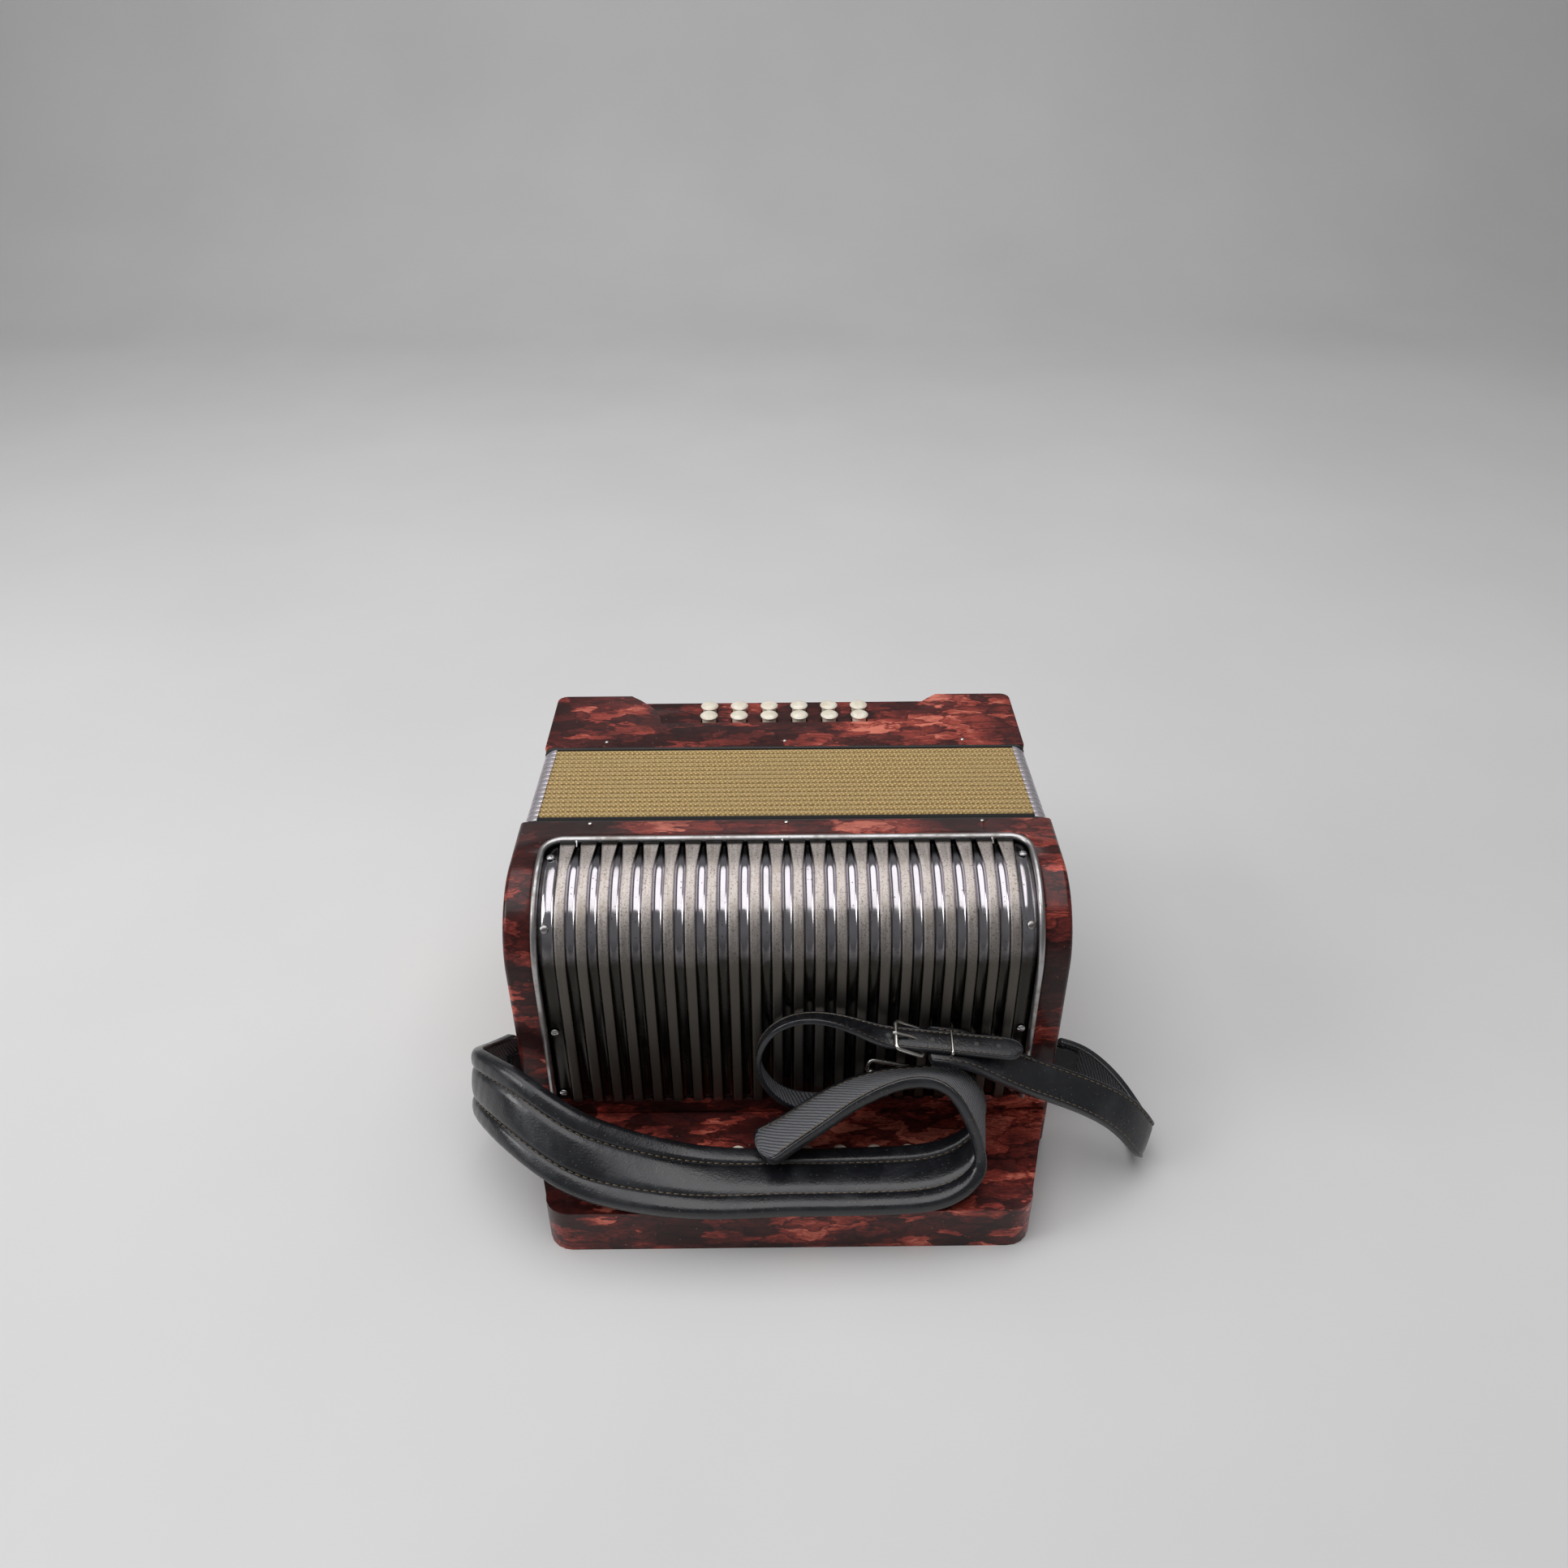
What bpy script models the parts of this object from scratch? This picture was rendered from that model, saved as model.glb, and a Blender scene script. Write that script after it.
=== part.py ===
"""A three-row button accordion lying on its back: treble case, bellows, bass case, buttons and straps.

X is the instrument's height when it is played, Y the bellows' axis from treble to bass, Z its front.
The origin is the middle of the treble case's back. Metres.
"""

import math

import bmesh
import bpy
from mathutils import Matrix, Vector

# Clearances and walls shared by all sections
GAP = 0.0003
WALL = 0.005
FLOOR_LIFT = 0.001

# The outline that the three sections share, and how far each case departs from it
BODY_HALF_WIDTH = 0.154
BODY_HEIGHT = 0.184
TREBLE_MARGIN = 0.001
BASS_MARGIN = 0.0015

# Treble case: the front meets the end in a round shoulder
TREBLE_HALF_WIDTH = BODY_HALF_WIDTH + TREBLE_MARGIN
TREBLE_DEPTH = 0.083
TREBLE_HEIGHT = BODY_HEIGHT + TREBLE_MARGIN
SHOULDER_RADIUS = 0.043
SHOULDER_STEPS = 6
END_Y = -TREBLE_DEPTH / 2
TREBLE_JOINT_Y = TREBLE_DEPTH / 2

# Grille: ribs that run over the shoulder, on a sheet with a bead round it
RIB_COUNT = 22
RIB_PITCH = 0.01174
RIB_WIDTH = 0.0054
RIB_HEIGHT = 0.0022
GRILLE_SHEET = 0.0010
GRILLE_FLANGE = 0.0063
GRILLE_BEAD = 0.0040
GRILLE_SEAT = 0.010
GRILLE_TOP_MARGIN = 0.0185
GRILLE_FOOT_Z = 0.0445
TOP_BAR_WIDTH = 0.0055
TOP_BAR_HEIGHT = 0.0035
RIB_FIELD_HALF = RIB_COUNT * RIB_PITCH / 2
GRILLE_HALF_WIDTH = RIB_FIELD_HALF + GRILLE_FLANGE + GRILLE_BEAD
GRILLE_TOP_Y = TREBLE_JOINT_Y - GRILLE_TOP_MARGIN

# Fingerboard: a hollow block at the foot of the treble end
BOARD_HEIGHT = 0.031
BOARD_REACH = 0.072
BOARD_ROOT_HALF = 0.1525
BOARD_TIP_HALF = 0.136
BOARD_CORNER = 0.014
BOARD_FLOOR = 0.004

# Treble keys: button, stem, lever and pallet in one piece, turning on a common axle
ROW_SIZES = (10, 11, 10)
KEY_PITCH = 0.0195
FIRST_ROW_REACH = 0.0335
ROW_PITCH = 0.0145
BUTTON_RADIUS = 0.005
BUTTON_RISE = 0.0052
BUTTON_LENGTH = 0.0087
BUTTON_SWING_ROOM = 0.0012
STEM_RADIUS = 0.002
LEVER_THICKNESS = 0.002
LEVER_HEIGHT = 0.006
OUTER_LEVER_SHIFT = 0.004
AXLE_RADIUS = 0.0014
AXLE_INSET = 0.0115
AXLE_Z = 0.020
ARM_WIDTH = 0.005
ARM_CLEARANCE = 0.013
PALLET_WIDTH = 0.014
PALLET_HEIGHT = 0.022
PALLET_THICKNESS = 0.003
PALLET_HEIGHTS = (0.060, 0.095, 0.130)
LEVER_SLOT_HEIGHT = 0.014

# Treble soundboard and reed block
SOUNDBOARD_THICKNESS = 0.005
SOUNDBOARD_INSET = 0.0195
SOUND_HOLE_WIDTH = 0.009
SOUND_HOLE_HEIGHT = 0.016
REED_BASE = 0.003
REED_BLOCK_HEIGHT = 0.024
REED_BLOCK_DEPTH = 0.034
REED_BLOCK_MARGIN = 0.014

# Bellows between the two cases
BELLOWS_SPAN = 0.082
FRAME_RIM_DEPTH = 0.002
FRAME_TONGUE_DEPTH = 0.012
FRAME_WALL = 0.006
FOLD_COUNT = 16
FOLD_DEPTH = 0.009
BELLOWS_SKIN = 0.0012
BELLOWS_CORNER = 0.008

# Bass case with its scooped recess
BASS_HALF_WIDTH = BODY_HALF_WIDTH - BASS_MARGIN
BASS_DEPTH = 0.065
BASS_HEIGHT = BODY_HEIGHT
BASS_CORNER = 0.006
RECESS_DEPTH = 0.006
RECESS_STRIP = 0.0295
RECESS_NEAR_HALF = 0.081
RECESS_FAR_HALF = 0.103
BASS_START_Y = TREBLE_JOINT_Y + BELLOWS_SPAN
BASS_END_Y = BASS_START_Y + BASS_DEPTH
RECESS_Z = BASS_HEIGHT - RECESS_DEPTH

# Bass buttons
BASS_ROWS = 2
BASS_COLUMNS = 6
BASS_PITCH = 0.020
BASS_ROW_PITCH = 0.0125
BASS_FIRST_ROW = 0.0117
BASS_BUTTON_RADIUS = 0.0052
BASS_STEM_RADIUS = 0.0025
BASS_STEM_LENGTH = 0.014
COLLAR_LIP = 0.0008
COLLAR_LENGTH = 0.002

# Bass soundboard with its reed block, in one piece
BASS_SOUNDBOARD_INSET = 0.0135
BASS_REED_HALF = 0.100
BASS_REED_REACH = 0.030
BASS_REED_HEIGHT = 0.055
BASS_REED_BOTTOM = 0.045

# Air button in the bass end
AIR_INSET = 0.0245
AIR_X = AIR_INSET - BASS_HALF_WIDTH
AIR_Z = 0.135
AIR_RADIUS = 0.0065
AIR_RISE = 0.0085
AIR_STEM_RADIUS = 0.003
AIR_STEM_LENGTH = 0.012

# Hand strap over the bass end
HAND_STRAP_HALF = 0.125
HAND_STRAP_FOOT = 0.022
HAND_STRAP_WIDTH = 0.058
HAND_STRAP_THICKNESS = 0.003
HAND_STRAP_BOW = 0.036
HAND_STRAP_Z = 0.078

# Shoulder straps: padded bands, a narrow belt, and their metal fittings
STRAP_WIDTH = 0.044
STRAP_THICKNESS = 0.007
STRAP_END_WIDTH = 0.024
STRAP_END_THICKNESS = 0.005
BELT_WIDTH = 0.014
BELT_THICKNESS = 0.003
BELT_TAIL = 0.064
BUCKLE_PLACE = (0.0665, -0.0172, 0.0715)
BUCKLE_HEADING = (0.989, 0.0, -0.148)
BUCKLE_LEAN = (0.0, 0.95, 0.19)
BUCKLE_LENGTH = 0.016
RING_PLACE = (0.057, -0.0080, 0.0385)
RING_HEADING = (0.97, 0.0, -0.24)
RING_LENGTH = 0.009
RING_WIDTH = 0.024
LUG_REACH = 0.010
LUG_HEIGHT = 0.030
LUG_THICKNESS = 0.004
LUG_PIN_RADIUS = 0.002
LUG_Y = 0.005
LUG_Z = 0.030
FITTING_WIRE = 0.0012

# Left strap, as places of its far edge and directions from its near edge to it: from the lug up over
# the fingerboard, flat on the buttons, and folded back over itself, where it narrows
LEFT_LUG_RISE = 0.0158
LEFT_STRAP_CLIMB = (
    ((-0.0240, 0.0280, 0.0258), (0.0, 0.1, 1.0)),
    ((-0.0273, 0.0100, 0.0405), (0.05, 0.2, 0.97)),
    ((-0.0170, -0.0030, 0.0472), (0.15, 0.3, 0.94)),
    ((0.0050, -0.0200, 0.0519), (0.25, 0.5, 0.83)),
    ((0.0331, -0.0360, 0.0418), (0.20, 0.68, 0.70)),
    ((0.0578, -0.0380, 0.0285), (0.12, 0.83, 0.55)),
    ((0.1035, -0.0370, 0.0085), (0.03, 0.98, 0.14)),
)
LEFT_STRAP_LYING = (
    (-0.0080, -0.0360, 0.0008),
    (0.0200, -0.0355, 0.0),
    (0.0500, -0.0350, 0.0),
    (0.0840, -0.0330, 0.0008),
)
LEFT_STRAP_FOLD = (
    ((0.1070, -0.0260, 0.0150), (0.1, 1.0, 0.02), 0.95),
    ((0.1090, -0.0210, 0.0290), (0.15, 0.98, 0.05), 0.88),
    ((0.1005, -0.0170, 0.0430), (0.12, 0.98, -0.1), 0.84),
    ((0.0906, -0.0126, 0.0435), (0.1, 0.9, -0.42), 0.82),
    ((0.0770, -0.0120, 0.0400), (0.08, 0.8, -0.6), 0.77),
    ((0.0560, -0.0120, 0.0390), (-0.05, 0.82, -0.55), 0.75),
    ((0.0320, -0.0140, 0.0330), (-0.15, 0.88, -0.42), 0.75),
    ((0.0130, -0.0190, 0.0240), (-0.25, 0.88, -0.37), 0.75),
    ((-0.0050, -0.0250, 0.0140), (-0.3, 0.86, -0.38), 0.75),
    ((-0.0220, -0.0310, 0.0095), (-0.3, 0.9, -0.25), 0.75),
)

# Right strap, from the lug round the fingerboard's end and up to the buckle
RIGHT_LUG_RISE = 0.0058
RIGHT_STRAP_CLIMB = (
    ((0.0310, 0.0420, 0.0020), (0.0, 0.0, 1.0)),
    ((0.0480, 0.0260, -0.0060), (0.0, 0.1, 1.0)),
    ((0.0580, 0.0080, -0.0130), (0.2, 0.45, 0.87)),
    ((0.0620, -0.0080, -0.0108), (0.48, 0.8, 0.38)),
    ((0.0486, -0.0080, 0.0098), (0.56, 0.75, 0.35)),
    ((0.0280, -0.0080, 0.0244), (0.54, 0.8, 0.22)),
    ((0.0025, -0.0080, 0.0368), (0.45, 0.88, 0.14)),
    ((-0.0230, -0.0080, 0.0490), (0.3, 0.92, 0.15)),
)
RIGHT_STRAP_NEAR_BUCKLE = ((0.036, 0.0015), (0.022, 0.0))

# Belt, from the buckle round its loop to the ring
BELT_LOOP = (
    ((0.0300, -0.0075, 0.0800), (0.0, 0.95, -0.3)),
    ((0.0080, -0.0060, 0.0810), (0.0, 0.9, -0.45)),
    ((-0.0100, -0.0065, 0.0715), (0.0, 0.9, -0.45)),
    ((-0.0180, -0.0070, 0.0520), (0.0, 0.95, -0.3)),
    ((-0.0120, -0.0070, 0.0310), (0.0, 0.98, -0.2)),
    ((0.0040, -0.0060, 0.0170), (0.0, 1.0, 0.0)),
    ((0.0260, -0.0055, 0.0160), (0.0, 1.0, 0.1)),
    ((0.0450, -0.0050, 0.0170), (0.5, 0.85, 0.0)),
    ((0.0624, -0.0080, 0.0310), (0.97, 0.0, -0.24)),
)

SMALL_SIDES = 8
CIRCLE_SIDES = 12
FINE_SIDES = 16
FLAT_ANGLE = math.radians(0.1)
UPRIGHT = (0.0, 0.0, 1.0)

# Places that several pieces share
BUTTON_TOP = BOARD_HEIGHT + BUTTON_RISE
AXLE_Y = END_Y + AXLE_INSET
SOUNDBOARD_Y = TREBLE_JOINT_Y - SOUNDBOARD_INSET


def clear_scene():
    for obj in list(bpy.data.objects):
        bpy.data.objects.remove(obj)


def collection(name):
    made = bpy.data.collections.new(name)
    bpy.context.scene.collection.children.link(made)
    return made


def material(name, colour, roughness, metallic=0.0):
    made = bpy.data.materials.new(name)
    made.use_nodes = True
    shader = made.node_tree.nodes["Principled BSDF"]
    shader.inputs["Base Color"].default_value = (*colour, 1.0)
    shader.inputs["Roughness"].default_value = roughness
    shader.inputs["Metallic"].default_value = metallic
    return made


def mesh_object(name, bm):
    mesh = bpy.data.meshes.new(name)
    bm.to_mesh(mesh)
    bm.free()
    obj = bpy.data.objects.new(name, mesh)
    PARTS.objects.link(obj)
    return obj


def box(name, low, high):
    """A box between two opposite corners."""
    bm = bmesh.new()
    bmesh.ops.create_cube(bm, size=1.0)
    size = Vector(high) - Vector(low)
    middle = (Vector(high) + Vector(low)) / 2
    bmesh.ops.scale(bm, vec=size, verts=bm.verts)
    bmesh.ops.translate(bm, vec=middle, verts=bm.verts)
    return mesh_object(name, bm)


def rod(name, radius, start, end, sides=CIRCLE_SIDES):
    """A round bar from one point to another."""
    start = Vector(start)
    run = Vector(end) - start
    bm = bmesh.new()
    bmesh.ops.create_cone(
        bm,
        cap_ends=True,
        segments=sides,
        radius1=radius,
        radius2=radius,
        depth=run.length,
    )
    turn = run.to_track_quat("Z", "X").to_matrix().to_4x4()
    place = Matrix.Translation(start + run / 2) @ turn
    bmesh.ops.transform(bm, matrix=place, verts=bm.verts)
    return mesh_object(name, bm)


def mesh_from_curve(curve_object):
    """Turns a curve object into a mesh object with its caps welded on, and removes the curve."""
    bpy.context.view_layer.update()
    graph = bpy.context.evaluated_depsgraph_get()
    mesh = bpy.data.meshes.new_from_object(curve_object.evaluated_get(graph))
    name = curve_object.name
    matrix = curve_object.matrix_world.copy()
    bm = bmesh.new()
    bm.from_mesh(mesh)
    bmesh.ops.remove_doubles(bm, verts=bm.verts, dist=1e-6)
    bmesh.ops.dissolve_limit(bm, angle_limit=FLAT_ANGLE, verts=bm.verts, edges=bm.edges)
    bmesh.ops.recalc_face_normals(bm, faces=bm.faces)
    bmesh.ops.transform(bm, matrix=matrix, verts=bm.verts)
    bpy.data.objects.remove(curve_object)
    return mesh_object(name, bm)


def slab(name, outlines, start, end, axis):
    """Flat outlines drawn in a plane and filled, then given depth from start to end along an axis.

    An outline for axis X holds (y, z) pairs, for Z it holds (x, y) pairs. A second outline is a hole.
    """
    curve = bpy.data.curves.new(name, "CURVE")
    curve.dimensions = "2D"
    curve.fill_mode = "BOTH"
    curve.extrude = (end - start) / 2
    for outline in outlines:
        spline = curve.splines.new("POLY")
        spline.points.add(len(outline) - 1)
        for point, (u, v) in zip(spline.points, outline):
            point.co = (u, v, 0.0, 1.0)
        spline.use_cyclic_u = True
    obj = bpy.data.objects.new(name, curve)
    PARTS.objects.link(obj)
    middle = (start + end) / 2
    if axis == "X":
        turn = Matrix(((0, 0, 1, middle), (1, 0, 0, 0), (0, 1, 0, 0), (0, 0, 0, 1)))
    else:
        turn = Matrix.Translation((0, 0, middle))
    obj.matrix_world = turn
    return mesh_from_curve(obj)


def combine(target, others, operation, solver="EXACT"):
    """Joins others to the target, or cuts them from it, and removes them."""
    for other in others:
        modifier = target.modifiers.new(operation.lower(), "BOOLEAN")
        modifier.operation = operation
        modifier.solver = solver
        modifier.object = other
    bpy.context.view_layer.update()
    graph = bpy.context.evaluated_depsgraph_get()
    mesh = bpy.data.meshes.new_from_object(target.evaluated_get(graph))
    target.modifiers.clear()
    target.data = mesh
    for other in others:
        bpy.data.objects.remove(other)
    return target


def union(target, *others):
    return combine(target, others, "UNION")


def cut(target, *others):
    return combine(target, others, "DIFFERENCE")


def joined(name, objects):
    """Several closed meshes as one cutter."""
    bm = bmesh.new()
    for obj in objects:
        bm.from_mesh(obj.data)
        bpy.data.objects.remove(obj)
    return mesh_object(name, bm)


def finish(obj, name, surface, smooth=False):
    """Gives a finished piece its node name and its material."""
    obj.name = name
    obj.data.materials.clear()
    obj.data.materials.append(surface)
    if smooth:
        obj.data.shade_smooth()
        obj.data.set_sharp_from_angle(angle=math.radians(35))
    return obj


def arc(centre, radius, start, end, steps):
    """Points of a circle between two angles in degrees."""
    points = []
    for i in range(steps + 1):
        angle = math.radians(start + (end - start) * i / steps)
        across = radius * math.cos(angle)
        along = radius * math.sin(angle)
        points.append((centre[0] + across, centre[1] + along))
    return points


def case_profile(offset, foot_z, back_y):
    """The (y, z) line up the treble end, over the shoulder and along the front, moved out by an offset."""
    centre = (END_Y + SHOULDER_RADIUS, TREBLE_HEIGHT - SHOULDER_RADIUS)
    line = [(END_Y - offset, foot_z)]
    line += arc(centre, SHOULDER_RADIUS + offset, 180, 90, SHOULDER_STEPS)
    line.append((back_y, TREBLE_HEIGHT + offset))
    return line


def case_outline(offset, back_y):
    """The closed section of the treble case, grown by an offset."""
    line = case_profile(offset, -offset, back_y)
    return line + [(back_y, -offset)]


def rounded_rectangle(half_width, low, high, radius, steps):
    corners = (
        (half_width - radius, high - radius, 0),
        (-half_width + radius, high - radius, 90),
        (-half_width + radius, low + radius, 180),
        (half_width - radius, low + radius, 270),
    )
    points = []
    for x, y, start in corners:
        points += arc((x, y), radius, start, start + 90, steps)
    return points


def smooth_line(points, steps):
    """A Catmull-Rom line through the points, given as vectors of any kind."""
    last = len(points) - 1
    line = []
    for i in range(last):
        before = points[max(i - 1, 0)]
        start = points[i]
        end = points[i + 1]
        after = points[min(i + 2, last)]
        for step in range(steps):
            t = step / steps
            line.append(
                0.5
                * (
                    2 * start
                    + (end - before) * t
                    + (2 * before - 5 * start + 4 * end - after) * t**2
                    + (3 * start - before - 3 * end + after) * t**3
                )
            )
    line.append(points[last])
    return line


def band_edges(route, width, steps):
    """Both edge lines of a band. Its route holds a far edge, the direction to it and a share of the width."""
    far_line = []
    near_line = []
    for place, lean, share in route:
        far_line.append(Vector(place))
        near_line.append(Vector(place) - Vector(lean).normalized() * width * share)
    return list(zip(smooth_line(near_line, steps), smooth_line(far_line, steps)))


def band(name, edges, thickness):
    """A flat band: an open strip between two edge lines, with a skin of its full thickness."""
    bm = bmesh.new()
    rungs = [(bm.verts.new(near), bm.verts.new(far)) for near, far in edges]
    for (near, far), (next_near, next_far) in zip(rungs, rungs[1:]):
        bm.faces.new((near, far, next_far, next_near))
    strip = mesh_object(name, bm)
    skin = strip.modifiers.new("thickness", "SOLIDIFY")
    skin.thickness = thickness
    skin.offset = 0.0
    return strip


def wire_ring(name, centre, heading, across, length, width, wire):
    """A rectangular ring of round wire lying in the plane of two directions."""
    curve = bpy.data.curves.new(name, "CURVE")
    curve.dimensions = "3D"
    curve.bevel_depth = wire
    curve.bevel_resolution = 1
    spline = curve.splines.new("POLY")
    corner = 2 * wire
    outline = rounded_rectangle(width / 2, -length / 2, length / 2, corner, 2)
    spline.points.add(len(outline) - 1)
    for point, (u, v) in zip(spline.points, outline):
        place = Vector(centre) + across * u + heading * v
        point.co = (*place, 1.0)
    spline.use_cyclic_u = True
    obj = bpy.data.objects.new(name, curve)
    PARTS.objects.link(obj)
    return mesh_from_curve(obj)


def make_treble_case(surface):
    """A shell open to the bellows, with the grille's window, the levers' slot, the axle and the lugs."""
    outer = case_outline(0.0, TREBLE_JOINT_Y)
    case = slab("case", [outer], -TREBLE_HALF_WIDTH, TREBLE_HALF_WIDTH, "X")
    hollow_half = TREBLE_HALF_WIDTH - WALL
    hollow_outline = case_outline(-WALL, TREBLE_JOINT_Y + WALL)
    hollow = slab("hollow", [hollow_outline], -hollow_half, hollow_half, "X")
    window_half = GRILLE_HALF_WIDTH - GRILLE_SEAT
    window_foot = GRILLE_FOOT_Z + GRILLE_SEAT
    window_back = GRILLE_TOP_Y - GRILLE_SEAT
    window_outer = case_profile(WALL, window_foot, window_back)
    window_inner = case_profile(-2 * WALL, window_foot, window_back)
    window = slab(
        "window",
        [window_outer + window_inner[::-1]],
        -window_half,
        window_half,
        "X",
    )
    slot_half = lever_span_half() + WALL
    slot_top = BOARD_HEIGHT - WALL
    slot = box(
        "slot",
        (-slot_half, END_Y - WALL, slot_top - LEVER_SLOT_HEIGHT),
        (slot_half, END_Y + 2 * WALL, slot_top),
    )
    cut(case, hollow, window, slot)
    axle_half = TREBLE_HALF_WIDTH - WALL / 2
    axle = rod(
        "axle",
        AXLE_RADIUS,
        (-axle_half, AXLE_Y, AXLE_Z),
        (axle_half, AXLE_Y, AXLE_Z),
        sides=SMALL_SIDES,
    )
    lugs = [lug for side in (-1, 1) for lug in strap_lug(side)]
    union(case, axle, *lugs)
    return finish(case, "treble_case", surface)


def strap_lug(side):
    """Two ears on a side wall and the pin between them, which a strap's eye goes round."""
    wall_x = side * (TREBLE_HALF_WIDTH - WALL / 2)
    tip_x = side * (TREBLE_HALF_WIDTH + LUG_REACH)
    pieces = []
    half = LUG_HEIGHT / 2
    for end in (-1, 1):
        middle_z = LUG_Z + end * (half - LUG_THICKNESS / 2)
        low = (min(wall_x, tip_x), LUG_Y - LUG_THICKNESS, middle_z - LUG_THICKNESS / 2)
        high = (max(wall_x, tip_x), LUG_Y + LUG_THICKNESS, middle_z + LUG_THICKNESS / 2)
        pieces.append(box("ear", low, high))
    pin_x = tip_x - side * LUG_THICKNESS
    pin_half = half - LUG_THICKNESS / 2
    pieces.append(
        rod(
            "pin",
            LUG_PIN_RADIUS,
            (pin_x, LUG_Y, LUG_Z - pin_half),
            (pin_x, LUG_Y, LUG_Z + pin_half),
            sides=SMALL_SIDES,
        )
    )
    return pieces


def rib_section():
    """The grille's section across the ribs, as (x, height) points: bead, flange, ribs, flange, bead."""
    crest = GRILLE_SHEET + RIB_HEIGHT
    half_rib = RIB_WIDTH / 2
    slope = (RIB_PITCH - RIB_WIDTH) / 5
    bead_inner = GRILLE_HALF_WIDTH - GRILLE_BEAD
    top = [(-GRILLE_HALF_WIDTH, crest), (-bead_inner, crest), (-bead_inner, GRILLE_SHEET)]
    for i in range(RIB_COUNT):
        x = (i - (RIB_COUNT - 1) / 2) * RIB_PITCH
        top.append((x - half_rib - slope, GRILLE_SHEET))
        top.append((x - half_rib, crest))
        top.append((x + half_rib, crest))
        top.append((x + half_rib + slope, GRILLE_SHEET))
    top += [(bead_inner, GRILLE_SHEET), (bead_inner, crest), (GRILLE_HALF_WIDTH, crest)]
    return top + [(GRILLE_HALF_WIDTH, 0.0), (-GRILLE_HALF_WIDTH, 0.0)]


def make_grille(surface):
    """The ribbed section carried up the end, over the shoulder and along the front, with a bar at its top."""
    profile = bpy.data.curves.new("rib_section", "CURVE")
    profile.dimensions = "2D"
    rim = profile.splines.new("POLY")
    outline = rib_section()
    rim.points.add(len(outline) - 1)
    for point, (x, height) in zip(rim.points, outline):
        point.co = (x, height, 0.0, 1.0)
    rim.use_cyclic_u = True
    section = bpy.data.objects.new("rib_section", profile)
    CUTTERS.objects.link(section)
    section.hide_render = True
    curve = bpy.data.curves.new("grille", "CURVE")
    curve.dimensions = "3D"
    curve.twist_mode = "MINIMUM"
    curve.bevel_mode = "OBJECT"
    curve.bevel_object = section
    curve.use_fill_caps = True
    spline = curve.splines.new("POLY")
    route = case_profile(GAP, GRILLE_FOOT_Z, GRILLE_TOP_Y)
    spline.points.add(len(route) - 1)
    for point, (y, z) in zip(spline.points, route):
        point.co = (0.0, y, z, 1.0)
    obj = bpy.data.objects.new("grille", curve)
    PARTS.objects.link(obj)
    grille = mesh_from_curve(obj)
    bpy.data.objects.remove(section)
    sheet_top = TREBLE_HEIGHT + GAP + GRILLE_SHEET
    bar = box(
        "top_bar",
        (-GRILLE_HALF_WIDTH + GRILLE_BEAD / 2, GRILLE_TOP_Y - TOP_BAR_WIDTH, sheet_top - GRILLE_SHEET / 2),
        (GRILLE_HALF_WIDTH - GRILLE_BEAD / 2, GRILLE_TOP_Y - GAP, sheet_top + TOP_BAR_HEIGHT),
    )
    combine(grille, [bar], "UNION", solver="MANIFOLD")
    return finish(grille, "treble_grille", surface)


def board_outline(inset, back_y):
    """The fingerboard's (x, y) outline: it narrows away from the case and has round outer corners."""
    front_y = END_Y - BOARD_REACH + inset
    root = BOARD_ROOT_HALF - inset
    tip = BOARD_TIP_HALF - inset
    corner = BOARD_CORNER - inset
    centre = (tip - corner, front_y + corner)
    right = [(root, back_y)] + arc(centre, corner, 0, -90, 5)
    left = [(-x, y) for x, y in reversed(right)]
    return right + left


def make_fingerboard(surface):
    """A hollow block open to the treble case, with a round hole for each treble button."""
    seat_y = END_Y - GAP
    board = slab("board", [board_outline(0.0, seat_y)], 0.0, BOARD_HEIGHT, "Z")
    hollow = slab(
        "board_hollow",
        [board_outline(WALL, seat_y + WALL)],
        BOARD_FLOOR,
        BOARD_HEIGHT - WALL,
        "Z",
    )
    hole_radius = BUTTON_RADIUS + BUTTON_SWING_ROOM
    holes = []
    for _, _, x, y in key_places():
        low = (x, y, BOARD_HEIGHT - 2 * WALL)
        holes.append(rod("hole", hole_radius, low, (x, y, BOARD_HEIGHT + WALL)))
    cut(board, hollow, joined("holes", holes))
    return finish(board, "fingerboard", surface)


def lever_span_half():
    return (max(ROW_SIZES) - 1) / 2 * KEY_PITCH + OUTER_LEVER_SHIFT


def key_places():
    """(row, number, x, y) of each treble button, row by row from the case outwards."""
    places = []
    for row, count in enumerate(ROW_SIZES):
        y = END_Y - FIRST_ROW_REACH - row * ROW_PITCH
        for i in range(count):
            x = (i - (count - 1) / 2) * KEY_PITCH
            places.append((row, i, x, y))
    return places


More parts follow.
